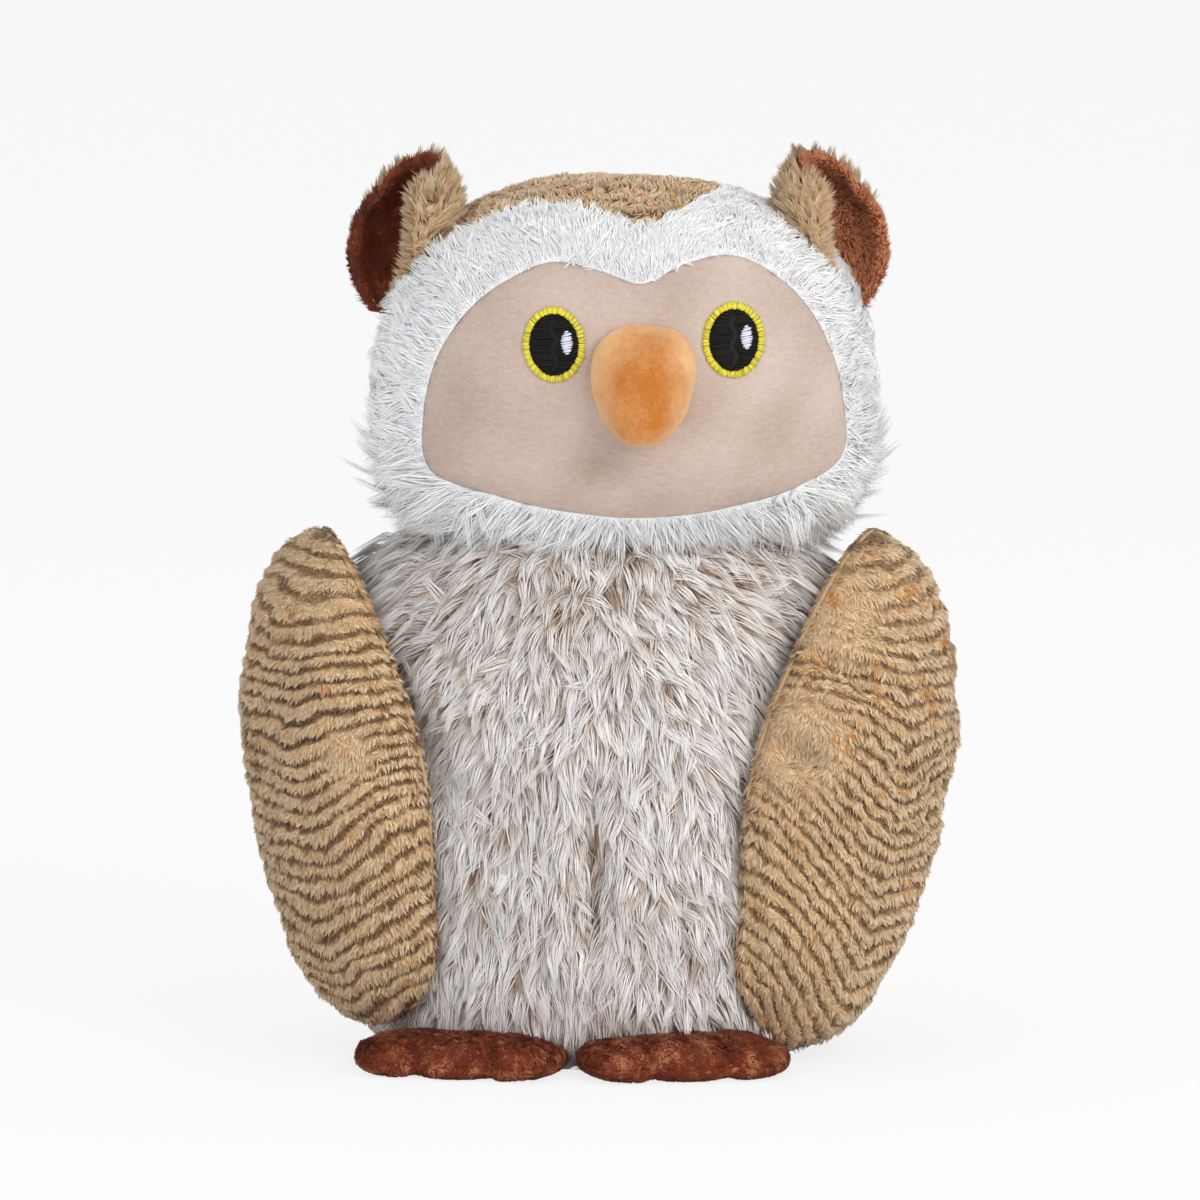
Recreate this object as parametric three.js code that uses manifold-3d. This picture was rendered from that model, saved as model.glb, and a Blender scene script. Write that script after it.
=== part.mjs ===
// A sitting plush owl: sewn fabric covers over stuffing, with wings and feet that hinge at their seams.
// Millimetres, +Z up. The owl faces -Y, and left means the viewer's left, at -X.

import * as THREE from 'three';
import { mergeVertices } from 'three/addons/utils/BufferGeometryUtils.js';
import Module from 'manifold-3d';

const wasm = await Module();
wasm.setup();

// Fabric and fits
const fabric = 3;               // backing with its pressed pile
const velour = 1.6;             // the thinner cloth that lines the ears
const seamGap = 0.4;            // clearance along a seam, and between a cover and its filling
const stitchGap = 0.3;          // clearance under an embroidered patch
const overrun = 20;             // how far a cutter passes what it cuts

// Body: a sack with a flat base and a level neck
const bodyHalfWidth = 86;
const bodyHalfDepth = 60;
const bodyHeight = 186;
const bodyMiddleX = -2;
const bodySquareness = 2.3;
const baseSeamShare = 0.09;
// Half-width and height of the sack's side, from the base's edge to the neck, as shares of its sizes
const bodySideShares = [[0.78, 0], [0.9, 0.018], [0.965, 0.07], [0.99, 0.16], [1, 0.32], [1, 0.5],
  [0.98, 0.68], [0.92, 0.83], [0.83, 0.93], [0.68, 1]];
const bellySeamAngle = THREE.MathUtils.degToRad(78);
const bodyBack = 10;            // facets across the back panel, each side of its middle
const bodyFront = 5;            // facets across the belly, each side of its middle
const bodyCourses = 8;

// Weight pouch: a bag of grain that rests on the base inside the sack
const pouchHalfWidth = 50;
const pouchHalfDepth = 34;
const pouchHeight = 22;
const pouchEdge = 6;
const pouchFacets = 20;

// Head: wider than it is deep, fullest low down
const headHalfWidth = 86;
const headTop = 81;             // from the fullest level up to the crown
const headBottom = 47;          // from the fullest level down to the chin
const headFront = 64;
const headBack = 60;
const headMiddleX = 6;
const headRise = 39;            // from the neck up to the fullest level
const headLevel = bodyHeight + headRise;
const headSquareness = 2.5;
const headFacets = 30;
const faceRings = 4;
const ruffRings = 2;
const crownRings = 5;

// Edges sewn over the head. Each knot has its clock angle, from the viewer's right and up over the crown,
// and how far it lies from the middle of the face (0) over the outline (1) to the middle of the back (2).
const faceEdgeShares = [[5, 0.91], [24, 0.88], [43, 0.855], [58, 0.83], [69, 0.75], [82, 0.65], [97, 0.7],
  [112, 0.76], [127, 0.755], [146, 0.765], [162, 0.79], [178, 0.81], [193, 0.81], [198, 0.75], [208, 0.65],
  [233, 0.62], [271, 0.65], [305, 0.657], [328, 0.69], [342, 0.8], [351, 0.91]];
const ruffEdgeShares = [[0, 1.01], [30, 1.01], [50, 1.03], [62, 1.01], [70, 0.985], [77, 0.915],
  [84.5, 0.86], [94, 0.905], [106, 0.955], [120, 0.97], [133, 0.965], [147, 0.985], [165, 0.985],
  [180, 0.985], [200, 0.99], [230, 1.01], [270, 1.02], [310, 1.02], [340, 1.01]];

// Eyes: flat embroidery, each an upright oval
const eyeHalfWidth = 11;
const eyeHalfHeight = 12.9;
const irisBand = 2.4;
const eyeThread = 1;
const glintHalfWidth = 1.8;
const glintHalfHeight = 3.8;
const glintThread = 0.6;
const glintRight = 4.6;
const glintUp = 0.8;
const eyeFacets = 24;
const glintFacets = 12;
const eyeTilt = THREE.MathUtils.degToRad(2);
const eyes = {
  left: { right: -23.5, up: 31.8 },
  right: { right: 39, up: 33 },
};

// Beak: a stuffed drop that hooks down over the middle of the face
const beakHalfWidth = 17.5;
const beakHeight = 38.5;
const beakReach = 25;
const beakRoot = 9;
const beakDroop = 5;
const beakRight = 7.5;
const beakTopUp = 38.5;
const beakFacets = 18;
const beakRings = 8;
const beakTaperShare = 0.42;

// Ears: cupped leaves on the corners of the crown, open outwards and a little forwards. Each stands its inset
// in from the side of the head and its rise above the head's fullest level.
const earHeight = 54;
const earRadius = 15;
const earShell = 4;
const earColumns = 8;
const earRows = 6;
const earWrap = THREE.MathUtils.degToRad(112);
const earLiningShare = 0.86;
const earSlopeShare = 0.22;
const earRadiusShares = [0.16, 0.66, 0.95, 1, 0.92, 0.5];
const ears = {
  left: { side: -1, inset: 5, rise: 34, lean: 6, facing: THREE.MathUtils.degToRad(216) },
  right: { side: 1, inset: 8, rise: 35, lean: -5, facing: THREE.MathUtils.degToRad(-38) },
};

// Wings: pillows that lie round the sides of the sack, hung from the shoulders
const wingBulge = 36;           // how far a wing's outer face stands off the sack
const wingSeamOff = 13;         // how far the seam round a wing stands off the sack
const wingLie = 1.4;            // how far a wing's inner face stands off the sack where it lies on it
const wingShoulderShare = 1;    // above the sack's slope the wing keeps this share of its girth
const wingFullUp = 110;         // from the ground up to here a wing grows to its full thickness
const wingFullDown = 40;        // and from its top down to here
const wingTopShare = 0.7;       // the share of its full thickness that a wing has at its top
const wingSquareness = 5;
const wingFacets = 24;
const wingRings = 4;
const wingBackEdge = THREE.MathUtils.degToRad(116);
// Outline seen flat, front edge at +1 and top at +1
const wingOutlineShares = [[0.1, 1], [0.45, 0.84], [0.78, 0.5], [0.98, 0.1], [1.02, -0.35], [0.99, -0.75],
  [0.7, -0.96], [0.2, -1.01], [-0.45, -0.92], [-0.9, -0.5], [-1, 0.05], [-0.94, 0.6], [-0.68, 0.92],
  [-0.3, 1.02]];
const wingDrop = 4;             // from the neck down to a wing's top
// A foot share is the share of its full thickness that a wing would have at the ground
const wings = {
  left: {
    side: -1,
    bottom: 14,
    top: bodyHeight - wingDrop,
    frontEdge: THREE.MathUtils.degToRad(36),
    footShare: 0.36,
  },
  right: {
    side: 1,
    bottom: 6,
    top: bodyHeight - wingDrop,
    frontEdge: THREE.MathUtils.degToRad(30),
    footShare: 0.26,
  },
};
const shoulderX = 76;
const shoulderDrop = 11;        // from the neck down to the line that a wing swings about

// Feet: flat pillows with three toes, sewn along a straight seam at the foot of the belly
const footHalfWidth = 37;
const footLength = 31;
const footHeight = 15;
const footSeamUp = 5;
const footEndShare = 0.9;
const footShoulderShare = 0.55;
const toeNotchShare = 0.86;
const toeEdgeShare = 0.36;
const footSquareness = 6;
const footFacets = 30;
const footRings = 2;
const footClearance = 0.05;     // between a foot's seam and the sack at the same height
// Each foot's turn out from straight ahead, and where its middle lies along the belly
const feet = {
  left: { turn: THREE.MathUtils.degToRad(-13), along: -33.5 },
  right: { turn: THREE.MathUtils.degToRad(9), along: 19.5 },
};

const plushRoughness = 0.95;
const threadRoughness = 0.6;
const colours = {
  white: '#dcdcdc', tan: '#c3a684', face: '#c8ab9b', orange: '#cf8a4c', brown: '#6e3a26', yellow: '#d8c81e',
  black: '#242322', glint: '#d9dce6', fill: '#efece4', cotton: '#d8cdb8',
};

// Numbers at even steps from one end to the other
function steps(from, to, count) {
  return Array.from({ length: count + 1 }, (_, i) => from + (to - from) * i / count);
}

// The share at any clock angle, by cubic steps between a table's knots
function roundShare(knots, angle) {
  const turn = 360;
  const count = knots.length;
  const knot = (i) => {
    const lap = Math.floor(i / count);
    return [knots[i - lap * count][0] + lap * turn, knots[i - lap * count][1]];
  };
  const [first] = knots[0];
  const at = THREE.MathUtils.euclideanModulo(THREE.MathUtils.radToDeg(angle) - first, turn) + first;
  let i = 0;
  while (knot(i + 1)[0] <= at) i += 1;
  const [before, start, end, after] = [knot(i - 1), knot(i), knot(i + 1), knot(i + 2)];
  const span = end[0] - start[0];
  const t = (at - start[0]) / span;
  const slopeIn = span * (end[1] - before[1]) / (end[0] - before[0]);
  const slopeOut = span * (after[1] - start[1]) / (after[0] - start[0]);
  return start[1] + t * slopeIn + t * t * (3 * (end[1] - start[1]) - 2 * slopeIn - slopeOut)
    + t * t * t * (2 * (start[1] - end[1]) + slopeIn + slopeOut);
}

// A power that keeps the sign, for superellipses
function bend(value, power) {
  return Math.sign(value) * Math.abs(value) ** power;
}

// Loose triangles as one closed geometry: points merged, empty triangles dropped, faces turned outwards
function closed(triangles) {
  const loose = new THREE.BufferGeometry();
  const places = triangles.flat().flatMap((point) => point.toArray());
  loose.setAttribute('position', new THREE.Float32BufferAttribute(places, 3));
  const merged = mergeVertices(loose);
  const points = merged.getAttribute('position');
  const index = [];
  let volume = 0;
  const corner = [0, 1, 2].map(() => new THREE.Vector3());
  for (let i = 0; i < merged.index.count; i += 3) {
    const [a, b, c] = [0, 1, 2].map((j) => merged.index.getX(i + j));
    if (a === b || b === c || c === a) continue;
    index.push(a, b, c);
    [a, b, c].forEach((k, j) => corner[j].fromBufferAttribute(points, k));
    volume += corner[0].dot(corner[1].clone().cross(corner[2]));
  }
  merged.setIndex(volume < 0 ? index.reverse() : index);
  return merged;
}

// The two triangles of each cell between rows of points
function cells(rows, wraps) {
  const triangles = [];
  for (let i = 0; i + 1 < rows.length; i += 1) {
    const count = rows[i].length;
    for (let j = 0; j < count - (wraps ? 0 : 1); j += 1) {
      const k = (j + 1) % count;
      triangles.push([rows[i][j], rows[i][k], rows[i + 1][k]], [rows[i][j], rows[i + 1][k], rows[i + 1][j]]);
    }
  }
  return triangles;
}

// A cover between an outer and an inner layer of points, closed along its edges. Where the layers meet in one
// rim, it is a filling between two faces.
function cover(outer, inner, wraps) {
  const ends = [0, outer.length - 1].map((i) => [outer[i], inner[i]]);
  const triangles = [...cells(outer, wraps), ...cells(inner, wraps).map((triangle) => triangle.reverse())];
  triangles.push(...cells([ends[0][1], ends[0][0]], wraps), ...cells([ends[1][0], ends[1][1]], wraps));
  if (!wraps) {
    const last = outer[0].length - 1;
    const edge = (layer, j) => layer.map((row) => row[j]);
    triangles.push(...cells([edge(outer, 0), edge(inner, 0)]));
    triangles.push(...cells([edge(inner, last), edge(outer, last)]));
  }
  return closed(triangles);
}

// A solid whose surface is rows of points that go once round and end in a point at both ends
function filling(rows) {
  return closed(cells(rows, true));
}

function toSolid(geometry) {
  const bare = geometry.clone();
  bare.deleteAttribute('normal');
  bare.deleteAttribute('uv');
  const merged = mergeVertices(bare);
  return new wasm.Manifold(new wasm.Mesh({
    numProp: 3,
    vertProperties: new Float32Array(merged.getAttribute('position').array),
    triVerts: new Uint32Array(merged.index.array),
  }));
}

function toGeometry(solid) {
  const { vertProperties, triVerts } = solid.getMesh();
  const geometry = new THREE.BufferGeometry();
  geometry.setAttribute('position', new THREE.BufferAttribute(vertProperties, 3));
  geometry.setIndex(new THREE.BufferAttribute(triVerts, 1));
  return geometry;
}

// The largest piece that is left of a solid after its neighbours are cut out of it
function cutBy(geometry, ...tools) {
  const left = tools.reduce((solid, tool) => solid.subtract(toSolid(tool)), toSolid(geometry));
  const pieces = left.decompose().sort((a, b) => b.volume() - a.volume());
  return toGeometry(pieces[0]);
}

function sewn(name, geometry, colour, roughness = plushRoughness) {
  const shape = geometry.index ? geometry.toNonIndexed() : geometry;
  shape.computeVertexNormals();
  const cloth = new THREE.MeshStandardMaterial({ color: colour, roughness, metalness: 0 });
  const mesh = new THREE.Mesh(shape, cloth);
  mesh.name = name;
  return mesh;
}

// Body

const bodySide = new THREE.SplineCurve(bodySideShares.map((share) => new THREE.Vector2(...share)));

// A point of the sack. The level runs from -1 at the middle of the base, over its edge (0) and up the side to
// the neck's edge (1), and in to the neck's middle (2).
function bodyPoint(angle, level, depth) {
  const side = bodySide.getPoint(THREE.MathUtils.clamp(level, 0, 1));
  const inward = level < 0 ? 1 + level : Math.min(1, 2 - level);
  const height = side.y;
  const power = 2 / bodySquareness;
  return new THREE.Vector3(
    inward * (side.x * bodyHalfWidth - depth) * bend(Math.sin(angle), power),
    -inward * (side.x * bodyHalfDepth - depth) * bend(Math.cos(angle), power),
    height * bodyHeight + (1 - height) * depth,
  );
}

// The sack's girth at a height, as a share of its fullest
function girthShare(height) {
  let [low, high] = [0, 1];
  for (let i = 0; i < 24; i += 1) {
    const middle = (low + high) / 2;
    if (bodySide.getPoint(middle).y * bodyHeight < height) low = middle;
    else high = middle;
  }
  return bodySide.getPoint(low).x;
}

function bodyPieces() {
  const seamAngle = seamGap / bodyHalfDepth / 2;
  const belly = steps(-bellySeamAngle + seamAngle, bellySeamAngle - seamAngle, 2 * bodyFront);
  const back = steps(bellySeamAngle + seamAngle, 2 * Math.PI - bellySeamAngle - seamAngle, 2 * bodyBack);
  const seamLift = seamGap / bodyHeight;
  const sideLevels = steps(baseSeamShare + seamLift, 1, bodyCourses);
  const baseLevels = [-1, -0.5, 0, baseSeamShare];
  const round = [...belly, ...back];
  const layer = (angles, levels, depth) => levels.map(
    (level) => angles.map((angle) => bodyPoint(angle, level, depth)),
  );
  const panel = (angles, levels, wraps) => cover(
    layer(angles, levels, 0), layer(angles, levels, fabric), wraps,
  );
  const stuffing = filling(layer(round, [-1, -0.5, 0, ...sideLevels, 2], fabric + seamGap));
  return [
    sewn('belly_panel', panel(belly, sideLevels, false), colours.white),
    sewn('back_panel', panel(back, sideLevels, false), colours.tan),
    sewn('base_panel', panel(round, baseLevels, true), colours.tan),
    sewn('body_stuffing', cutBy(stuffing, pouch(seamGap)), colours.fill),
    sewn('weight_pouch', pouch(0), colours.cotton),
  ];
}

// The pouch of grain: a low turned cushion, drawn out sideways
function pouch(clearance) {
  const rest = fabric + seamGap;
  const edge = pouchHalfWidth + clearance;
  const top = pouchHeight + clearance;
  const lift = clearance > 0 ? -overrun : 0;
  const profile = [[0, lift], [edge - pouchEdge, lift], [edge, pouchEdge],
    [edge - pouchEdge / 2, top - pouchEdge], [edge - 2 * pouchEdge, top - pouchEdge / 2],
    [edge / 2, top], [0, top]];
  const bag = new THREE.LatheGeometry(profile.map(([x, y]) => new THREE.Vector2(x, y)), pouchFacets);
  bag.rotateX(Math.PI / 2);
  bag.scale(1, (pouchHalfDepth + clearance) / edge, 1);
  bag.translate(0, 0, rest);
  return toGeometry(toSolid(bag));
}

// Head

// The turn from the middle of the face (0) over the outline to the middle of the back (a half turn)
function headTurn(reach) {
  const near = Math.asin(Math.min(reach, 2 - reach) ** (headSquareness / 2));
  return reach > 1 ? Math.PI - near : near;
}

function headPoint(clock, turn, depth) {
  const [across, up] = [Math.cos(clock), Math.sin(clock)];
  const [wide, tall] = [headHalfWidth - depth, (up > 0 ? headTop : headBottom) - depth];
  const edge = ((Math.abs(across) / wide) ** headSquareness + (Math.abs(up) / tall) ** headSquareness)
    ** (-1 / headSquareness);
  const out = edge * Math.sin(turn) ** (2 / headSquareness);
  const deep = (Math.cos(turn) > 0 ? headFront : headBack) - depth;
  return new THREE.Vector3(
    headMiddleX + out * across,
    -deep * bend(Math.cos(turn), 2 / headSquareness),
    headLevel + out * up,
  );
}

// A point of the face, given by how far right and up it is from the head's fullest level
function facePoint(right, up, lift) {
  const reach = Math.hypot(right, up);
  const clock = Math.atan2(up, right);
  const [wide, tall] = [headHalfWidth + lift, (up > 0 ? headTop : headBottom) + lift];
  const edge = ((Math.abs(Math.cos(clock)) / wide) ** headSquareness
    + (Math.abs(Math.sin(clock)) / tall) ** headSquareness) ** (-1 / headSquareness);
  return headPoint(clock, headTurn(reach / edge), -lift);
}

const clocks = steps(0, 2 * Math.PI, headFacets).slice(0, -1);

function headRow(turnAt, depth) {
  return clocks.map((clock) => headPoint(clock, turnAt(clock), depth));
}

// Rows from one edge to another over the head, with its bottom cut off level at the neck
function headRows(from, to, count, depth) {
  return steps(0, 1, count).map((t) => headRow((clock) => from(clock) * (1 - t) + to(clock) * t, depth));
}

function neckCutter(gap) {
  const side = 2 * (headHalfWidth + overrun);
  const height = headBottom + overrun;
  const box = new THREE.BoxGeometry(side, side, height);
  return box.translate(headMiddleX, 0, bodyHeight + gap - height / 2);
}

// The three covers sewn together over the head, each from one edge to the next
const seamTurn = seamGap / headFront / 2;
const faceEdge = (clock) => headTurn(roundShare(faceEdgeShares, clock));
const ruffEdge = (clock) => headTurn(roundShare(ruffEdgeShares, clock));
const headBands = {
  face_disc: {
    from: () => 0, to: (clock) => faceEdge(clock) - seamTurn, rings: faceRings, colour: colours.face,
  },
  face_ruff: {
    from: (clock) => faceEdge(clock) + seamTurn,
    to: (clock) => ruffEdge(clock) - seamTurn,
    rings: ruffRings,
    colour: colours.white,
  },
  head_back_panel: {
    from: (clock) => ruffEdge(clock) + seamTurn, to: () => Math.PI, rings: crownRings, colour: colours.tan,
  },
};

// The whole head sunk by a depth, or swollen by a clearance where the depth is below zero
function headSolid(depth) {
  const rows = Object.values(headBands).flatMap(({ from, to, rings }) => headRows(from, to, rings, depth));
  return cutBy(filling(rows), neckCutter(seamGap));
}

function headPieces() {
  const covers = Object.entries(headBands).map(([name, { from, to, rings, colour }]) => {
    const band = cover(headRows(from, to, rings, 0), headRows(from, to, rings, fabric), true);
    return sewn(name, cutBy(band, neckCutter(seamGap)), colour);
  });
  return [...covers, sewn('head_stuffing', headSolid(fabric + seamGap), colours.fill)];
}

// Embroidery: a band between two ovals on the face, raised by its thread
function ovalPatch(eye, outline, hole, lift, thread, facets) {
  const row = (oval, raise) => steps(0, 2 * Math.PI, facets).slice(0, -1).map((angle) => {
    const right = oval.right + oval.halfWidth * Math.cos(angle);
    const up = oval.up + oval.halfHeight * Math.sin(angle);
    return facePoint(
      eye.right + right * Math.cos(eyeTilt) - up * Math.sin(eyeTilt),
      eye.up + right * Math.sin(eyeTilt) + up * Math.cos(eyeTilt),
      raise,
    );
  });
  const layer = (raise) => [row(hole, raise), row(outline, raise)];
  return cover(layer(lift + thread), layer(lift), true);
}

function eyePieces(name) {
  const oval = (shrink) => ({
    right: 0, up: 0, halfWidth: eyeHalfWidth - shrink, halfHeight: eyeHalfHeight - shrink,
  });
  const middle = { right: 0, up: 0, halfWidth: 0, halfHeight: 0 };
  const glint = { right: glintRight, up: glintUp, halfWidth: glintHalfWidth, halfHeight: glintHalfHeight };
  const glintMiddle = { ...glint, halfWidth: 0, halfHeight: 0 };
  const glintLift = 2 * stitchGap + eyeThread;
  const eye = eyes[name];
  const ring = ovalPatch(eye, oval(0), oval(irisBand), stitchGap, eyeThread, eyeFacets);
  const pupil = ovalPatch(eye, oval(irisBand + seamGap), middle, stitchGap, eyeThread, eyeFacets);
  const spark = ovalPatch(eye, glint, glintMiddle, glintLift, glintThread, glintFacets);
  return [
    sewn(`${name}_iris_ring`, ring, colours.yellow, threadRoughness),
    sewn(`${name}_pupil`, pupil, colours.black, threadRoughness),
    sewn(`${name}_eye_glint`, spark, colours.glint, threadRoughness),
  ];
}

// Beak

const beakSeat = facePoint(beakRight, beakTopUp - beakHeight / 2, 0);

// The drop: its width swells then tapers to the tip, and its front hooks forward and down
function beakPoint(angle, along, depth) {
  const swell = Math.sin(Math.PI * along) ** 0.75;
  const width = (beakHalfWidth * (1 + beakTaperShare / 2 - beakTaperShare * along) * swell) - depth * swell;
  const front = Math.max(0, Math.cos(angle));
  const hook = beakReach * (1 - beakTaperShare + 2 * beakTaperShare * along);
  const reach = (Math.cos(angle) > 0 ? hook : beakRoot) - depth;
  const height = beakHeight - 2 * depth;
  return new THREE.Vector3(
    headMiddleX + beakRight + width * Math.sin(angle),
    beakSeat.y - reach * swell * Math.cos(angle),
    headLevel + beakTopUp - depth - height * (1 - Math.cos(Math.PI * along)) / 2 - beakDroop * front * swell,
  );
}

function beakPieces() {
  const angles = steps(0, 2 * Math.PI, beakFacets).slice(0, -1);
  const drop = (depth) => filling(steps(0, 1, beakRings).map(
    (along) => angles.map((angle) => beakPoint(angle, along, depth)),
  ));
  return [
    sewn('beak_cover', cutBy(drop(0), headSolid(-stitchGap), drop(fabric)), colours.orange),
    sewn('beak_stuffing', cutBy(drop(fabric + seamGap), headSolid(-stitchGap)), colours.fill),
  ];
}

// Ears

const earProfile = new THREE.CatmullRomCurve3(
  earRadiusShares.map((share, i) => new THREE.Vector3(share, i / (earRadiusShares.length - 1), 0)),
);

// A cupped leaf: the sheet wraps round an upright axis, and its radius swells and closes with height
function earPoint(ear, across, along, out) {
  const { x: radiusShare, y: heightShare } = earProfile.getPoint(along);
  const angle = ear.facing + Math.PI + across * earWrap;
  const radius = Math.max(out, radiusShare * earRadius + out);
  const x = headMiddleX + ear.side * (headHalfWidth - ear.inset);
  return new THREE.Vector3(
    x + ear.lean * heightShare + radius * Math.cos(angle),
    radius * Math.sin(angle),
    headLevel + ear.rise + heightShare * earHeight * (1 - earSlopeShare * across * across),
  );
}

function earPieces(name) {
  const ear = ears[name];
  const columns = steps(-earLiningShare, earLiningShare, earColumns);
  const rows = steps(0, earLiningShare, earRows);
  const sheet = (acrosses, alongs, out) => alongs.map(
    (along) => acrosses.map((across) => earPoint(ear, across, along, out)),
  );
  const margin = (out) => sheet([-1, ...columns, 1], [...rows, 1], out);
  const back = cover(margin(seamGap + earShell), margin(seamGap), false);
  const lining = cover(sheet(columns, rows, 0), sheet(columns, rows, -velour), false);
  return [
    sewn(`${name}_ear_back`, cutBy(back, headSolid(-stitchGap)), colours.tan),
    sewn(`${name}_ear_lining`, cutBy(lining, headSolid(-stitchGap)), colours.brown),
  ];
}

// Wings

const wingKnots = wingOutlineShares.map(([across, up]) => new THREE.Vector3(across, up, 0));
const wingOutline = new THREE.CatmullRomCurve3(wingKnots, true);

// A point of a wing's sheet, off the sack by a distance along the sack's own outward direction. The distance
// is given for a height, because a wing is thinner at both ends.
function wingPoint(wing, across, up, offAt) {
  const middle = (wing.frontEdge + wingBackEdge) / 2;
  const angle = wing.side * (middle - across * (wingBackEdge - wing.frontEdge) / 2);
  const height = (wing.top + wing.bottom) / 2 + up * (wing.top - wing.bottom) / 2;
  const girth = girthShare(height);
  const share = height > bodyHeight / 2 ? Math.max(girth, wingShoulderShare) : girth;
  const [wide, deep] = [share * bodyHalfWidth, share * bodyHalfDepth];
  const power = 2 / bodySquareness;
  const [x, y] = [bend(Math.sin(angle), power), -bend(Math.cos(angle), power)];
  const slope = bodySquareness - 1;
  const outward = new THREE.Vector3(bend(x, slope) / wide, bend(y, slope) / deep, 0).normalize();
  return new THREE.Vector3(wide * x, deep * y, height).addScaledVector(outward, offAt(height));
}

// A wing's layer: rings from its middle to its outline, pushed out (+1) or in (-1) from the seam
function wingLayer(wing, face, depth, split) {
  const slim = (height) => Math.min(
    1,
    wing.footShare + (1 - wing.footShare) * height / wingFullUp,
    wingTopShare + (1 - wingTopShare) * (wing.top - height) / wingFullDown,
  );
  const bulge = (full) => (face > 0 ? (wingBulge - wingSeamOff) * full : wingSeamOff * full - wingLie);
  const size = (wing.top - wing.bottom) / 2;
  return steps(0, 1, wingRings).map((t) => {
    const reach = Math.sin(t * Math.PI / 2);
    const puff = Math.sqrt(1 - reach ** wingSquareness);
    return steps(0, 1, wingFacets).slice(0, -1).map((turn) => {
      const edge = wingOutline.getPoint(turn);
      const shrink = reach * (1 - depth / size);
      return wingPoint(wing, edge.x * shrink, edge.y * shrink, (height) => {
        const full = slim(height);
        return wingSeamOff * full + face * (split + (bulge(full) - split - depth) * puff);
      });
    });
  });
}

function wingPieces(name) {
  const wing = wings[name];
  const layer = (face, depth) => wingLayer(wing, face, depth, seamGap / 2);
  const half = (face) => cover(layer(face, 0), layer(face, fabric), true);
  const [outer, inner] = [1, -1].map((face) => wingLayer(wing, face, fabric + seamGap, 0));
  return [
    sewn(`${name}_wing_outer`, half(1), colours.tan),
    sewn(`${name}_wing_inner`, half(-1), colours.tan),
    sewn(`${name}_wing_stuffing`, cover(outer, inner, true), colours.fill),
  ];
}

// Feet

// Seen from above with the seam at the bottom: two round ends and a front edge of three toes
function footOutline() {
  const end = footEndShare * footHalfWidth;
  const side = footShoulderShare * footLength;
  const notch = toeEdgeShare * footHalfWidth;
  const dip = toeNotchShare * footLength;
  const bulge = footLength + (footLength - dip);
  const shape = new THREE.Shape();
  shape.moveTo(-end, 0);
  shape.lineTo(end, 0);
  shape.quadraticCurveTo(footHalfWidth, 0, footHalfWidth, side / 2);
  shape.bezierCurveTo(footHalfWidth, dip, 2 * notch, bulge, notch, dip);
  shape.quadraticCurveTo(0, bulge, -notch, dip);
  shape.bezierCurveTo(-2 * notch, bulge, -footHalfWidth, dip, -footHalfWidth, side / 2);
  shape.quadraticCurveTo(-footHalfWidth, 0, -end, 0);
  return shape.getSpacedPoints(footFacets).slice(0, -1);
}

// The middle of a foot's seam, on the level line that just touches the sack on that side
function footSeat(foot, height) {
  const power = bodySquareness / (bodySquareness - 1);
  const share = girthShare(footSeamUp);
  const reach = (Math.abs(Math.sin(foot.turn) * share * bodyHalfWidth) ** power
    + Math.abs(Math.cos(foot.turn) * share * bodyHalfDepth) ** power) ** (1 / power);
  return new THREE.Vector3(foot.along, -reach - footClearance, height)
    .applyAxisAngle(new THREE.Vector3(0, 0, 1), foot.turn);
}

// A foot's layer: rings from its middle to its outline, up to its top (+1) or down to its sole (-1)
function footLayer(foot, face, depth, split) {
  const bulge = face > 0 ? footHeight - footSeamUp : footSeamUp;
  const squareness = face > 0 ? footSquareness / 2 : footSquareness;
  const middle = footLength / 2;
  return steps(0, 1, footRings).map((t) => {
    const reach = Math.sin(t * Math.PI / 2);
    const puff = Math.sqrt(1 - reach ** squareness);
    return footOutline().map((edge) => {
      const shrink = reach * (1 - depth / middle);
      const point = new THREE.Vector3(
        edge.x * shrink,
        -(middle + (edge.y - middle) * shrink),
        face * (split + (bulge - split - depth) * puff),
      );
      return point.applyAxisAngle(new THREE.Vector3(0, 0, 1), foot.turn)
        .add(footSeat(foot, footSeamUp));
    });
  });
}

function footPieces(name) {
  const foot = feet[name];
  const layer = (face, depth) => footLayer(foot, face, depth, seamGap / 2);
  const half = (face) => cover(layer(face, 0), layer(face, fabric), true);
  const [top, sole] = [1, -1].map((face) => footLayer(foot, face, fabric + seamGap, 0));
  return [
    sewn(`${name}_foot_top`, half(1), colours.brown),
    sewn(`${name}_foot_sole`, half(-1), colours.brown),
    sewn(`${name}_foot_stuffing`, cover(top, sole, true), colours.fill),
  ];
}

// The whole owl, with its frame's origin under the middle of its box

const owl = new THREE.Group();
const sack = new THREE.Group();
sack.position.x = bodyMiddleX;
sack.add(...bodyPieces(), ...wingPieces('left'), ...wingPieces('right'));
sack.add(...footPieces('left'), ...footPieces('right'));
owl.add(sack, ...headPieces(), ...eyePieces('left'), ...eyePieces('right'), ...beakPieces());
owl.add(...earPieces('left'), ...earPieces('right'));

const box = new THREE.Box3().setFromObject(owl, true);
const centre = box.getCenter(new THREE.Vector3());
owl.position.set(-centre.x, -centre.y, -box.min.z);

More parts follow.
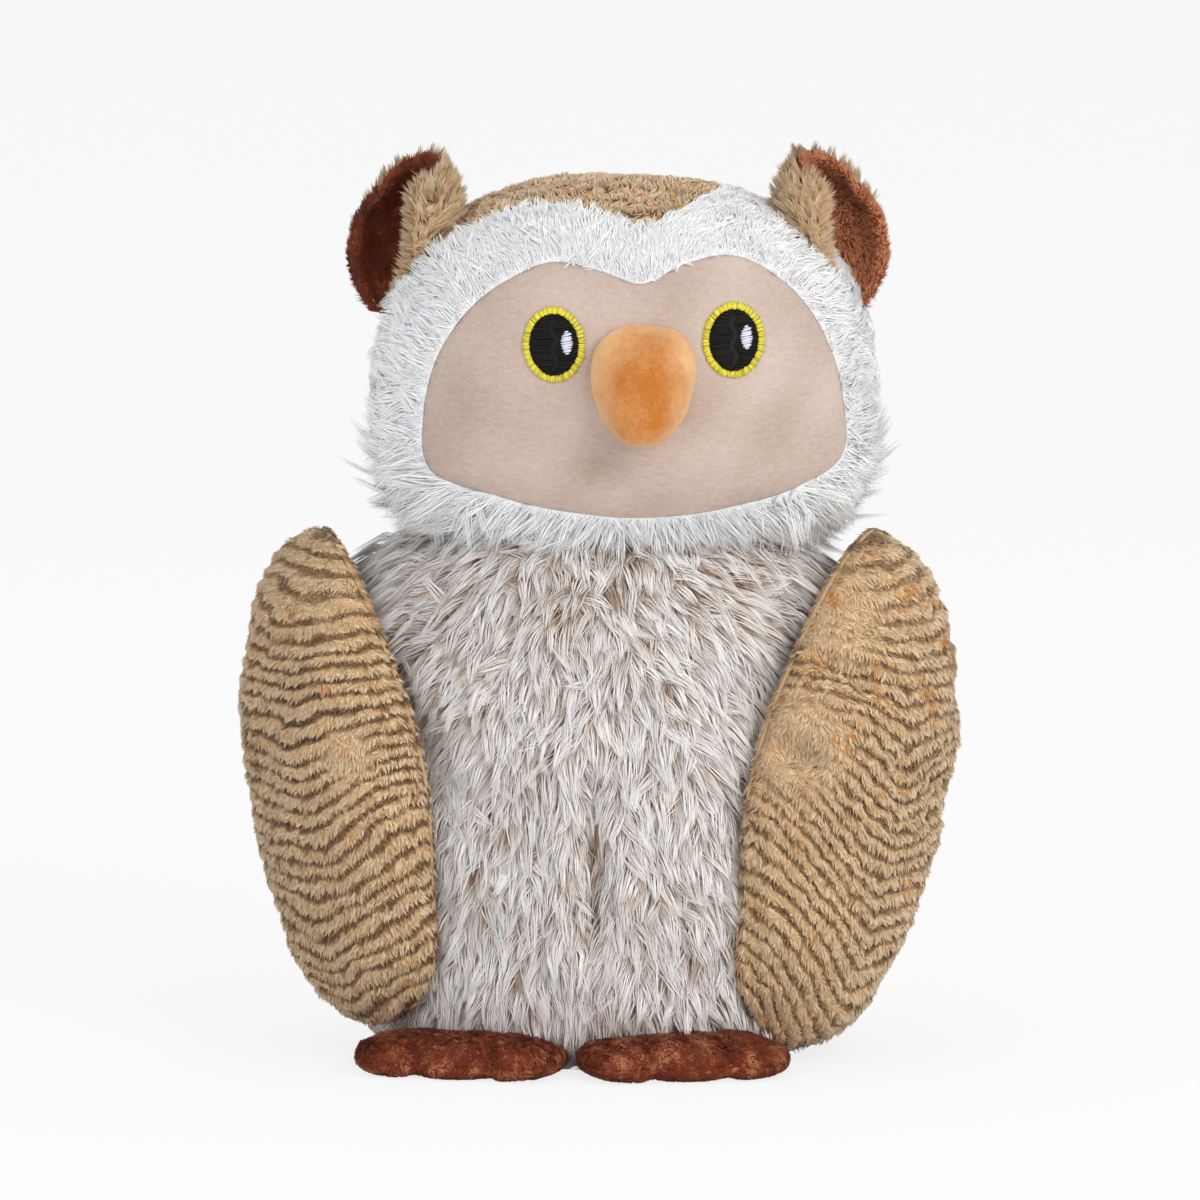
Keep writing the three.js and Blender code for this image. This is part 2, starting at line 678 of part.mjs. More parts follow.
// Where the limbs turn: wings about a level line at the shoulder, feet about their seam's upper edge
const hinges = {};
for (const [name, wing] of Object.entries(wings)) {
  hinges[`${name}_wing_lift`] = {
    at: new THREE.Vector3(wing.side * shoulderX, 0, bodyHeight - shoulderDrop)
      .add(sack.position)
      .add(owl.position),
    axis: new THREE.Vector3(0, -wing.side, 0),
  };
}
for (const [name, foot] of Object.entries(feet)) {
  hinges[`${name}_foot_lift`] = {
    at: footSeat(foot, footHeight).add(sack.position).add(owl.position),
    axis: new THREE.Vector3(-1, 0, 0).applyAxisAngle(new THREE.Vector3(0, 0, 1), foot.turn),
  };
}
owl.userData.hinges = hinges;

export default owl;
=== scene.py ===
"""A sitting plush owl: fur, pile, velour and embroidery over the frame of its CAD model.

Lengths are millimetres until a mesh is made. The axes are the frame's: +Z is up and the owl faces -Y.
Left and right are the viewer's.
"""

import logging
import math
from collections.abc import Callable, Sequence
from dataclasses import dataclass, field
from enum import Enum
from functools import partial

import bpy
import numpy as np
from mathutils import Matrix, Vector
from numpy.typing import NDArray


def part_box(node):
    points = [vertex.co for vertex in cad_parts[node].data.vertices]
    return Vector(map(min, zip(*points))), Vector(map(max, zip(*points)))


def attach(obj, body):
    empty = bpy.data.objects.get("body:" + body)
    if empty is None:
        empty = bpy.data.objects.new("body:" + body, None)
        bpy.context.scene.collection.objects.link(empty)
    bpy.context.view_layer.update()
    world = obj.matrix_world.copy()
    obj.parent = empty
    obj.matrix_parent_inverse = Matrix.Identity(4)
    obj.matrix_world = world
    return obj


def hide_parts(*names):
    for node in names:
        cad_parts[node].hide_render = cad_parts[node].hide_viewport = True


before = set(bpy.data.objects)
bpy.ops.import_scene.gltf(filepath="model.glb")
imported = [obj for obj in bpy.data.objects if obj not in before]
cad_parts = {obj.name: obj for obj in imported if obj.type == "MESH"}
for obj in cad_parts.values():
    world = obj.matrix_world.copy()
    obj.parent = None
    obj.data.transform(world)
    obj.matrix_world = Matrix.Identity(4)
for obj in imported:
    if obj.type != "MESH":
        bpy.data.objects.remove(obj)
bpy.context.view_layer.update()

Array = NDArray[np.float64]
Indices = NDArray[np.int64]
Field = Callable[[Array], Array]
Stops = tuple[tuple[float, str], ...]
Pairs = tuple[tuple[float, float], ...]

log = logging.getLogger("owl")

MM = 0.001
TINY = 1e-9
POLE_SIZE = 1e-6
WELD_DIGITS = 5
STRIPE_PITCH = 6.2
FABRIC = 1.4
SEWN_FILL = 0.9
FILLING_DEPTH = 3.4
GROUND_GAP = 0.3
STREAK_SHADE = 0.5
SIDE_SHADE_STEP = 0.006
QUICK_SHARE = 1.0


# Plain maths on whole arrays


def bend(value: Array, power: float) -> Array:
    """A power that keeps the sign."""
    return np.sign(value) * np.abs(value) ** power


def unit(vectors: Array) -> Array:
    """Vectors along the last axis, brought to length 1."""
    length = np.linalg.norm(vectors, axis=-1, keepdims=True)
    return vectors / np.maximum(length, TINY)


def xyz(x: Array | float, y: Array | float, z: Array | float) -> Array:
    """Points or directions of three coordinates, each spread over the shape of the others."""
    return np.stack(np.broadcast_arrays(x, y, z), -1)


def apart(points: Array, middle: Array) -> Array:
    """How far points are from a middle sideways, backwards and up, as three arrays."""
    return np.moveaxis(points - middle, -1, 0)


def lap(count: int) -> Array:
    """Angles round one turn."""
    return np.linspace(0, 2 * math.pi, count, endpoint=False)


def towards(*direction: float) -> Field:
    """The same direction at every place."""
    return lambda places: np.tile(direction, (len(places), 1))


def step_between(low: float, high: float, value: Array) -> Array:
    """0 below low, 1 above high and a smooth cubic step in between."""
    share = np.clip((value - low) / (high - low), 0, 1)
    return share * share * (3 - 2 * share)


def waves(points: Array, size: float, seed: int) -> Array:
    """Smooth bumps between about -1 and 1.

    The sum of seven sine waves, each along a random direction with a random phase and about one size long.

    Args:
        points: places along the last axis.
        size: distance from one bump to the next.
        seed: seed of the directions and phases.

    Returns:
        The height of the bumps at each place.
    """
    rng = np.random.default_rng(seed)
    count = 7
    pace = unit(rng.normal(size=(count, 3))) * (2 * math.pi / size * rng.uniform(0.7, 1.4, (count, 1)))
    return np.sin(points @ pace.T + rng.uniform(0, 2 * math.pi, count)).sum(-1) / math.sqrt(count)


def ribs(phase: Array) -> Array:
    """How light a ribbed pile is: 1 on the ribs and 0 in the narrow dark lines between them."""
    return step_between(-0.85, 0.15, np.cos(2 * math.pi * phase))


def cubic(start: Array, end: Array, into: Array, out: Array, t: Array) -> Array:
    """A cubic from start to end, which leaves with the slope into and arrives with the slope out."""
    high = 2 * (start - end) + into + out
    return start + t * into + t**2 * (3 * (end - start) - 2 * into - out) + t**3 * high


class Ends(Enum):
    """How a line goes on past its first and last knots."""

    CLOSED = "closed"
    STRAIGHT = "straight"
    FLAT = "flat"

    def padded(self, knots: Array) -> Array:
        """The knots with one more before them and two more after.

        Args:
            knots: the points of the line.

        Returns:
            The longer line.
        """
        first, last = knots[:1], knots[-1:]
        if self is Ends.CLOSED:
            return np.concatenate([last, knots, knots[:2]])
        if self is Ends.FLAT:
            return np.concatenate([first, knots, last, last])
        after = 2 * last - knots[-2:-1]
        return np.concatenate([2 * first - knots[1:2], knots, after, after])


def line_through(knots: Array, share: Array, ends: Ends) -> Array:
    """A smooth line through knots, each stretch a cubic whose ends slope as the neighbouring chords do.

    Args:
        knots: the points, in order.
        share: how far along, from 0 to 1, each stretch counting the same.
        ends: how the line goes on past its ends.

    Returns:
        A point for each share.
    """
    place = share * (len(knots) - (ends is not Ends.CLOSED))
    i = np.floor(place).astype(int)
    padded = ends.padded(knots)
    before, start, end, after = (padded[i + k] for k in range(4))
    return cubic(start, end, (end - before) / 2, (after - start) / 2, (place - i)[..., None])


def round_share(knots: Array, clock: Array) -> Array:
    """The share at any clock angle, by a closed cubic through a table's knots.

    Args:
        knots: rows of an angle in degrees and a share, in order.
        clock: angles in radians.

    Returns:
        The share at each angle.
    """
    turn = np.array([360.0, 0.0])
    x, y = np.concatenate([knots - turn, knots, knots + turn]).T
    at = np.degrees(clock) % turn[0]
    i = np.searchsorted(x, at, side="right") - 1
    span = x[i + 1] - x[i]
    into = span * (y[i + 1] - y[i - 1]) / (x[i + 1] - x[i - 1])
    out = span * (y[i + 2] - y[i]) / (x[i + 2] - x[i])
    return cubic(y[i], y[i + 1], into, out, (at - x[i]) / span)


# Surfaces


def closed_round(grid: Array) -> Array:
    """A grid with its first column again after its last one."""
    return np.concatenate([grid, grid[:, :1]], axis=1)


@dataclass
class Roots:
    """Where hairs grow: the places on the skin and its outward directions there."""

    place: Array
    normal: Array


@dataclass
class Sheet:
    """A surface as a grid of points.

    Attributes:
        points: rows by columns by 3.
        wraps: whether the last column meets the first.
        side: 1 where a step across and then a step along turn outwards by the right hand, or -1.
    """

    points: Array
    wraps: bool
    side: int = 1

    @classmethod
    def facing(cls, points: Array, wraps: bool, core: Array) -> "Sheet":
        """A sheet whose outside faces away from a point."""
        out = ((points - core) * cls(points, wraps).normals()).sum()
        return cls(points, wraps, 1 if out > 0 else -1)

    def normals(self) -> Array:
        """Outward directions: the cross product of the steps across and along.

        Where a row is drawn together in one point, it takes the mean direction of the next row.
        """
        along = np.gradient(self.points, axis=0)
        if self.wraps:
            across = (np.roll(self.points, -1, 1) - np.roll(self.points, 1, 1)) / 2
        else:
            across = np.gradient(self.points, axis=1)
        normal = self.side * np.cross(across, along)
        for row, near in ((0, 1), (-1, -2)):
            if self.is_pole(row):
                normal[row] = normal[near].mean(0)
        return unit(normal)

    def is_pole(self, row: int) -> bool:
        """Whether a row is drawn together in one point."""
        return bool(np.ptp(self.points[row], axis=0).max() < POLE_SIZE)

    def part(self, rows: slice = slice(None), columns: slice = slice(None)) -> "Sheet":
        """Some rows and columns of the sheet."""
        return Sheet(self.points[rows, columns], self.wraps, self.side)

    def flipped(self) -> "Sheet":
        """The sheet with its other side out."""
        return Sheet(self.points, self.wraps, -self.side)

    def raised(self, lift: Array | float) -> "Sheet":
        """The sheet moved along its normals."""
        lifts = np.broadcast_to(np.asarray(lift, float), self.points.shape[:2])
        return Sheet(self.points + lifts[..., None] * self.normals(), self.wraps, self.side)

    def edge_distance(self, first: bool = False, last: bool = False, sides: bool = False) -> Array:
        """How far each point is from the sheet's sewn edges, along its rows and columns.

        Args:
            first: whether the first row is sewn.
            last: whether the last row is sewn.
            sides: whether the first and last columns are sewn.

        Returns:
            Distances, rows by columns.
        """
        along, across = (np.linalg.norm(np.diff(self.points, axis=axis), axis=2) for axis in (0, 1))
        down = np.concatenate([np.zeros((1, along.shape[1])), np.cumsum(along, 0)])
        run = np.concatenate([np.zeros((across.shape[0], 1)), np.cumsum(across, 1)], axis=1)
        edges = [(first, down), (last, down[-1] - down), (sides, run), (sides, run[:, -1:] - run)]
        return np.minimum.reduce([away for sewn, away in edges if sewn])

    def scatter(self, count: int, rng: np.random.Generator, liking: Field | None = None) -> Roots:
        """Random places on the sheet, evenly by area.

        Each one picks a cell by its area and then a place in the cell between its four corners.

        Args:
            count: how many.
            rng: the random source.
            liking: how well a place is liked, which multiplies the area.

        Returns:
            The places with their normals.
        """
        points, normals = self.points, self.normals()
        if self.wraps:
            points, normals = closed_round(points), closed_round(normals)
        one, two = points[1:, 1:] - points[:-1, :-1], points[1:, :-1] - points[:-1, 1:]
        area = np.linalg.norm(np.cross(one, two), axis=2) / 2
        if liking is not None:
            area = area * liking((points[1:, 1:] + points[:-1, :-1]) / 2)
        total = np.cumsum(area.ravel())
        cell = np.searchsorted(total, rng.uniform(0, total[-1], count))
        row, column = np.unravel_index(np.minimum(cell, area.size - 1), area.shape)
        s, t = rng.uniform(size=(count, 1)), rng.uniform(size=(count, 1))

        def between(grid: Array) -> Array:
            """The grid's values between the corners of the cells."""
            low = grid[row, column] * (1 - t) + grid[row, column + 1] * t
            high = grid[row + 1, column] * (1 - t) + grid[row + 1, column + 1] * t
            return low * (1 - s) + high * s

        return Roots(between(points), unit(between(normals)))


@dataclass(frozen=True)
class Crease:
    """A dent drawn into a cover by its stuffing or a stitch, seen from the front.

    Attributes:
        start: sideways and upward place of one end.
        end: of the other end.
        width: how far the dent reaches to each side.
        depth: how deep it is.
        ridge_share: height of the low ridge beside it, as a share of the depth.
    """

    start: tuple[float, float]
    end: tuple[float, float]
    width: float
    depth: float
    ridge_share: float = 0.35

    def sink(self, points: Array) -> Array:
        """Depth at each point: a bell curve of the distance from the line, with a low ridge beside it.

        Args:
            points: places from the middle of the sack.

        Returns:
            The depths.
        """
        start, end = np.array(self.start), np.array(self.end)
        run = end - start
        flat = points[..., [0, 2]] - start
        share = np.clip(flat @ run / (run @ run), 0, 1)
        away = np.linalg.norm(flat - share[..., None] * run, axis=-1) / self.width
        ridge = self.ridge_share * self.depth * np.exp(-((away - 2) ** 2))
        return self.depth * np.exp(-(away**2)) - ridge


@dataclass(frozen=True)
class Padding:
    """How the filling shows through a cover.

    Attributes:
        swells: size and height of the soft swellings, each kind with its own seed.
        rise: distance from a seam over which they grow.
        dip: depth of the groove along a seam.
        groove: how fast the groove runs out.
    """

    swells: Pairs = ()
    rise: float = 1.0
    dip: float = 0.0
    groove: float = 1.0

    def lift(self, points: Array, near: Array, seed: int, share: Array | float = 1.0) -> Array:
        """How far each point of a cover moves out.

        Swellings are bent sums of waves that only ever add, and the groove is an exponential of the distance.

        Args:
            points: the points.
            near: their distance from a seam.
            seed: seed of the first kind of swelling.
            share: how much of the swellings is wanted.

        Returns:
            The lift of each point.
        """
        found = np.zeros(near.shape)
        for kind, (size, height) in enumerate(self.swells):
            found += height * (0.5 + 0.5 * np.tanh(1.2 * waves(points, size, seed + kind)))
        return found * share * step_between(0, self.rise, near) - self.dip * np.exp(-near / self.groove)


# Meshes


def placed(name: str, data: bpy.types.ID) -> bpy.types.Object:
    """A new object of some data, in the scene."""
    made = bpy.data.objects.new(name, data)
    bpy.context.scene.collection.objects.link(made)
    return made


@dataclass
class Shape:
    """Points and faces of a closed mesh.

    Attributes:
        points: all points.
        faces: arrays of faces, each with rows of three or four point numbers.
        tint: the shade of each point, for cloth.
        place: the shade and the share along a hair of each point, for hair.
        normals: the direction that each point is shaded in, where its faces don't give it.
    """

    points: Array
    faces: list[Indices]
    tint: Array | None = None
    place: Array | None = None
    normals: Array | None = None

    def to_mesh(self, name: str) -> bpy.types.Mesh:
        """A smooth mesh of the shape, in metres.

        Args:
            name: the mesh's name.

        Returns:
            The mesh.
        """
        faces = [f for f in self.faces if len(f)]
        corners = np.concatenate([f.ravel() for f in faces])
        sizes = np.concatenate([np.full(len(f), f.shape[1]) for f in faces])
        used, corners = np.unique(corners, return_inverse=True)
        mesh = bpy.data.meshes.new(name)
        mesh.vertices.add(len(used))
        mesh.vertices.foreach_set("co", (self.points[used] * MM).astype(np.float32).ravel())
        mesh.loops.add(len(corners))
        mesh.loops.foreach_set("vertex_index", corners.astype(np.int32))
        mesh.polygons.add(len(sizes))
        starts = np.concatenate([[0], np.cumsum(sizes)[:-1]])
        mesh.polygons.foreach_set("loop_start", starts.astype(np.int32))
        mesh.polygons.foreach_set("use_smooth", np.ones(len(sizes), bool))
        mesh.update(calc_edges=True)
        if self.tint is not None:
            layer = mesh.attributes.new("tint", "FLOAT", "POINT")
            layer.data.foreach_set("value", self.tint[used].astype(np.float32))
        if self.place is not None:
            for key in ("Hair", "OFBake"):
                layer = mesh.uv_layers.new(name=key)
                layer.uv.foreach_set("vector", self.place[used][corners].astype(np.float32).ravel())
        mesh.validate()
        if self.normals is not None:
            mesh.normals_split_custom_set_from_vertices(self.normals[used].astype(np.float32))
        return mesh


def joined(shapes: Sequence[Shape]) -> Shape:
    """Several shapes as one, with the places and normals that they all have.

    Args:
        shapes: the shapes.

    Returns:
        Their sum.
    """
    starts = np.cumsum([0] + [len(shape.points) for shape in shapes])
    faces = [f + start for start, shape in zip(starts, shapes) for f in shape.faces]

    def whole(name: str) -> Array | None:
        """An array of all the shapes, or none where one has none."""
        parts = [getattr(shape, name) for shape in shapes]
        return None if any(part is None for part in parts) else np.concatenate(parts)

    return Shape(whole("points"), faces, place=whole("place"), normals=whole("normals"))


def welded(quads: Indices, points: Array) -> list[Indices]:
    """Quads whose corners at one place are joined: those that keep four corners, and the triangles.

    Args:
        quads: rows of four point numbers.
        points: all points.

    Returns:
        The faces of four corners and those of three.
    """
    _, first, where = np.unique(points.round(WELD_DIGITS), axis=0, return_index=True, return_inverse=True)
    quads = first[where.ravel()][quads]
    same = quads == np.roll(quads, -1, axis=1)
    count = same.sum(1)
    return [quads[count == 0], quads[count == 1][~same[count == 1]].reshape(-1, 3)]


def grid_quads(rows: int, columns: int, wraps: bool, side: int) -> Indices:
    """The quads between the points of a grid, turned to its outer side."""
    index = np.arange(rows * columns).reshape(rows, columns)
    if wraps:
        index = closed_round(index)
    quads = np.stack([index[:-1, :-1], index[:-1, 1:], index[1:, 1:], index[1:, :-1]], -1)
    return quads.reshape(-1, 4)[:, ::side]


def closed_form(sheet: Sheet) -> Shape:
    """A sheet that closes on itself, with its rows drawn together at both ends."""
    points = sheet.points.reshape(-1, 3)
    return Shape(points, welded(grid_quads(*sheet.points.shape[:2], sheet.wraps, sheet.side), points))


def pillow(top: Sheet, low: Sheet) -> Shape:
    """Two sheets from their middles to one seam, as one closed form."""
    return closed_form(Sheet(np.concatenate([top.points, low.points[-2::-1]]), True, top.side))


def cloth(sheet: Sheet, thickness: float, tint: Array) -> Shape:
    """A sheet with a thickness: an outer and an inner layer, joined round their edges.

    Args:
        sheet: the outer layer.
        thickness: how far in the inner layer lies.
        tint: the shade of the cloth at each point, rows by columns.

    Returns:
        The closed shape.
    """
    rows, columns = sheet.points.shape[:2]
    points = np.concatenate([sheet.points.reshape(-1, 3), sheet.raised(-thickness).points.reshape(-1, 3)])
    count = rows * columns
    quads = grid_quads(rows, columns, sheet.wraps, sheet.side)
    parts = [quads, quads[:, ::-1] + count]
    index = np.arange(count).reshape(rows, columns)
    if sheet.wraps:
        index = closed_round(index)
    rims = [line for row, line in ((0, index[0]), (-1, index[-1, ::-1])) if not sheet.is_pole(row)]
    if not sheet.wraps:
        rims += [index[::-1, 0], index[:, -1]]
    for line in rims:
        a, b = line[:-1], line[1:]
        parts.append(np.stack([a, a + count, b + count, b], 1)[:, ::sheet.side])
    return Shape(points, welded(np.concatenate(parts), points), np.tile(tint.ravel(), 2))


def tubes(
    paths: Array, radii: Array, up: Array, sides: int, flat: float, tint: Array, softness: float = 0.0
) -> Shape:
    """Closed tapering tubes, one for each path, each ending in a point.

    The ring at each step of a path is an ellipse square to the path's chord: its wide axis is the cross
    product of the chord and the up direction, and its other axis is that one times flat.

    Args:
        paths: tubes by steps by 3.
        radii: tubes by steps.
        up: the direction that a flat tube faces, one for each tube.
        sides: faces round a tube, 3 or 4.
        flat: thickness over width.
        tint: the shade of each tube, which with the share along the path is its place on the map.
        softness: how far each tube is shaded like the skin below it, 0 for not at all.

    Returns:
        The shape of all tubes.
    """
    count, steps = paths.shape[:2]
    chord = unit(paths[:, -1] - paths[:, 0])
    wide = unit(np.cross(chord, up))
    high = flat * np.cross(chord, wide)
    turn = np.arange(sides) * 2 * math.pi / sides
    ring = np.cos(turn)[:, None] * wide[:, None] + np.sin(turn)[:, None] * high[:, None]
    body = paths[:, :-1, None] + radii[:, :-1, None, None] * ring[:, None]
    points = np.concatenate([body.reshape(count, -1, 3), paths[:, -1:]], axis=1)
    k = np.arange(sides)
    following = (k + 1) % sides
    rows = np.arange(steps - 2)[:, None] * sides
    quads = np.stack([rows + k, rows + following, rows + sides + following, rows + sides + k], -1)
    last = (steps - 2) * sides
    tips = np.stack([last + k, last + following, np.full(sides, last + sides)], -1)
    start = np.arange(count)[:, None, None] * (last + sides + 1)
    faces = [(start + f).reshape(-1, f.shape[1]) for f in (quads.reshape(-1, 4), tips, k[None, ::-1])]
    along = np.append(np.repeat(np.linspace(0, 1, steps)[:-1], sides), 1.0)
    spread = np.append(np.tile(k / sides, steps - 1), 0.5) * SIDE_SHADE_STEP
    shade = np.clip(tint, 0, 0.99)[:, None] + spread
    place = np.stack([shade, np.tile(along * 0.98 + 0.01, (count, 1))], -1).reshape(-1, 2)
    shape = Shape(points.reshape(-1, 3), faces, place=place)
    if softness > 0:
        outward = np.concatenate([np.tile(ring, (1, steps - 1, 1)), chord[:, None]], axis=1)
        shape.normals = unit(softness * up[:, None] + (1 - softness) * outward).reshape(-1, 3)
    return shape


# Shader building


def linear(code: str) -> tuple[float, float, float, float]:
    """The linear colour of a hex code."""
    parts = [int(code[i : i + 2], 16) / 255 for i in (1, 3, 5)]
    bent = [p / 12.92 if p <= 0.04045 else ((p + 0.055) / 1.055) ** 2.4 for p in parts]
    return (*bent, 1.0)


class Wire:
    """One number socket, so that shader maths reads as plain expressions."""

    def __init__(self, bench: "Bench", socket: bpy.types.NodeSocket) -> None:
        """Keeps the bench that builds its nodes and the socket."""
        self.bench = bench
        self.socket = socket

    def _with(self, operation: str, first: "Wire | float", second: "Wire | float") -> "Wire":
        """A Math node on two values."""
        node = self.bench.node("ShaderNodeMath", {0: first, 1: second}, operation=operation)
        return Wire(self.bench, node.outputs[0])

    def __add__(self, other: "Wire | float") -> "Wire":
        """This value and another."""
        return self._with("ADD", self, other)

    def __sub__(self, other: "Wire | float") -> "Wire":
        """This value less another."""
        return self._with("SUBTRACT", self, other)

    def __rsub__(self, other: float) -> "Wire":
        """A number less this value."""
        return self._with("SUBTRACT", other, self)

    def __mul__(self, other: "Wire | float") -> "Wire":
        """This value times another."""
        return self._with("MULTIPLY", self, other)

    def __pow__(self, other: float) -> "Wire":
        """This value to a power."""
        return self._with("POWER", self, other)

    __radd__ = __add__
    __rmul__ = __mul__

    def held(self) -> "Wire":
        """This value kept between 0 and 1."""
        return self._with("MINIMUM", self._with("MAXIMUM", self, 0.0), 1.0)

    def ramp(self, stops: Stops) -> bpy.types.NodeSocket:
        """The colour that this value picks between stops."""
        return self.bench.node("ShaderNodeValToRGB", {0: self}, stops).outputs[0]


class Bench:
    """A node tree under construction."""

    def __init__(self, tree: bpy.types.NodeTree) -> None:
        """Keeps the tree."""
        self.tree = tree

    def standing(self, kind: str) -> bpy.types.Node:
        """The node of a type that the tree came with."""
        return next(node for node in self.tree.nodes if node.type == kind)

    def feed(self, target: bpy.types.NodeSocket, value: object) -> None:
        """Links a wire or a socket to an input, or sets the input to a value."""
        source = value.socket if isinstance(value, Wire) else value
        if isinstance(source, bpy.types.NodeSocket):
            self.tree.links.new(source, target)
        else:
            target.default_value = source

    def node(
        self, kind: str, sockets: dict[int | str, object], stops: Stops = (), **settings: object
    ) -> bpy.types.Node:
        """A node with its settings, then its sockets' values or links.

        Args:
            kind: the node's type.
            sockets: a value, wire or socket for each input, by number or name.
            stops: places and colours of a ramp.
            settings: its properties.

        Returns:
            The node.
        """
        made = self.tree.nodes.new(kind)
        for key, value in settings.items():
            setattr(made, key, value)
        if stops:
            elements = made.color_ramp.elements
            while len(elements) < len(stops):
                elements.new(0.5)
            for element, (place, code) in zip(elements, stops, strict=True):
                element.position, element.color = place, linear(code)
        for key, value in sockets.items():
            self.feed(made.inputs[key], value)
        return made


class Dye(Bench):
    """A material under construction."""

    def __init__(self, name: str) -> None:
        """Makes an empty material with a principled shader."""
        self.material = bpy.data.materials.new(name)
        self.material.use_nodes = True
        super().__init__(self.material.node_tree)
        self.shader = self.standing("BSDF_PRINCIPLED")

    def attribute(self, name: str) -> Wire:
        """A number that the mesh carries."""
        return Wire(self, self.node("ShaderNodeAttribute", {}, attribute_name=name).outputs["Fac"])

    def hair_places(self) -> tuple[Wire, Wire]:
        """The shade of a hair and how far along it a point is."""
        spot = self.node("ShaderNodeUVMap", {}, uv_map="Hair")
        split = self.node("ShaderNodeSeparateXYZ", {0: spot.outputs[0]})
        return Wire(self, split.outputs[0]), Wire(self, split.outputs[1])

    def noise(self, size: float, detail: float, stretch: tuple[float, float, float] = (1, 1, 1)) -> Wire:
        """Noise whose bumps are one size wide in millimetres, stretched along the axes."""
        spot = self.node("ShaderNodeTexCoord", {}).outputs["Object"]
        drawn = self.node("ShaderNodeMapping", {"Vector": spot, "Scale": stretch}).outputs[0]
        sockets = {"Vector": drawn, "Scale": 1 / (size * MM), "Detail": detail}
        return Wire(self, self.node("ShaderNodeTexNoise", sockets).outputs[0])

    def mixed(self, share: Wire | float, first: object, second: object) -> bpy.types.NodeSocket:
        """One colour over another by a share."""
        return self.node("ShaderNodeMix", {0: share, 6: first, 7: second}, data_type="RGBA").outputs[2]

    def bumped(self, height: Wire, depth: float, strength: float = 1.0) -> None:
        """Bumps of a depth in millimetres on the shader's normal."""
        sockets = {"Height": height, "Distance": depth * MM, "Strength": strength}
        self.feed(self.shader.inputs["Normal"], self.node("ShaderNodeBump", sockets).outputs[0])

    def finished(self, colour: object, **constants: float | tuple[float, ...]) -> bpy.types.Material:
        """Feeds the base colour, sets constants on the shader and returns the material."""
        self.feed(self.shader.inputs["Base Color"], colour)
        for key, value in constants.items():
            self.shader.inputs[key.replace("_", " ")].default_value = value
        return self.material


@dataclass(frozen=True)
class Recipe:
    """What a material is made of. Its slot is its own name."""

    name: str

    @property
    def slot(self) -> str:
        """The record's slot."""
        return self.name


@dataclass(frozen=True)
class Hair(Recipe):
    """The finish of fur and pile, from the shade of each hair and the share along it.

    Attributes:
        roots: colours at the skin, by shade.
        tips: colours at the tips, by shade.
        fade: how quickly the root colour gives way, 1 for evenly.
        sheen: strength of the fibres' soft shine.
    """

    roots: Stops
    tips: Stops
    fade: float
    sheen: float = 0.15

    def material(self) -> bpy.types.Material:
        """Builds the material."""
        dye = Dye(self.name)
        shade, along = dye.hair_places()
        colour = dye.mixed((along**self.fade).held(), shade.ramp(self.roots), shade.ramp(self.tips))
        return dye.finished(
            colour, Roughness=0.7, Specular_IOR_Level=0.3, Sheen_Weight=self.sheen, Sheen_Roughness=0.5
        )


@dataclass(frozen=True)
class Backing(Recipe):
    """The woven cloth that carries pile, shaded by the mesh's own tint, in the slot of that pile."""

    carries: str
    shades: Stops

    @property
    def slot(self) -> str:
        """The record's slot."""
        return self.carries

    def material(self) -> bpy.types.Material:
        """Builds the material: the tint with a fine grain, and small knots as bumps."""
        dye = Dye(self.name)
        grain = dye.noise(0.8, 3.0)
        shade = (dye.attribute("tint") + 0.3 * (grain - 0.5)).held()
        dye.bumped(grain, 0.25, 0.6)
        return dye.finished(shade.ramp(self.shades), Roughness=0.95)


@dataclass(frozen=True)
class Velour(Recipe):
    """Short brushed velour, whose brushed patches, with painted light and shade on the face and beak, are the
    mesh's own tint.

    Attributes:
        deep: colour where the nap stands up, and of painted shade.
        pale: colour where the nap lies over, and of painted light and sheen.
        glow: colour of its soft shine at the edges.
        sheen: strength of that shine.
        depth: depth of the nap's bumps.
        grain: size of the nap's tufts.
        stretch: how the tufts are drawn out along the axes.
    """

    deep: str
    pale: str
    glow: str
    sheen: float
    depth: float
    grain: float = 0.6
    stretch: tuple[float, float, float] = (1, 1, 1)

    def material(self) -> bpy.types.Material:
        """Builds the material: brushed patches and painted light from the tint, tufts on them, and both as
        bumps.
        """
        dye = Dye(self.name)
        tufts = dye.noise(self.grain, 4.0, self.stretch)
        marks = dye.noise(self.grain * 5, 3.0, self.stretch)
        share = (dye.attribute("tint") + 0.8 * (tufts - 0.5) + 0.5 * (marks - 0.5)).held()
        dye.bumped(tufts + 0.8 * marks, self.depth, 0.8)
        return dye.finished(
            dye.mixed(share, linear(self.deep), linear(self.pale)), Roughness=0.9,
            Sheen_Weight=self.sheen, Sheen_Roughness=0.35, Sheen_Tint=linear(self.glow),
        )


@dataclass(frozen=True)
class Thread(Recipe):
    """Shiny embroidery thread, shaded from thread to thread."""

    shades: Stops
    roughness: float = 0.42
    sheen: float = 0.2
    gloss: float = 0.5

    def material(self) -> bpy.types.Material:
        """Builds the material: each thread its own shade, with a fine twist as bumps."""
        dye = Dye(self.name)
        shade, _ = dye.hair_places()
        dye.bumped(dye.noise(0.25, 2.0), 0.06, 0.5)
        colour = shade.ramp(self.shades)
        return dye.finished(
            colour, Roughness=self.roughness, Sheen_Weight=self.sheen, Specular_IOR_Level=self.gloss
        )


@dataclass(frozen=True)
class Wadding(Recipe):
    """Loose white filling or plain cotton, seen nowhere while the seams hold."""

    deep: str
    pale: str
    tuft: float

    def material(self) -> bpy.types.Material:
        """Builds the material: soft tufts in two shades, and the same tufts as bumps."""
        dye = Dye(self.name)
        tufts = dye.noise(self.tuft, 5.0)
        dye.bumped(tufts, self.tuft / 3)
        return dye.finished(dye.mixed(tufts, linear(self.deep), linear(self.pale)), Roughness=1.0)


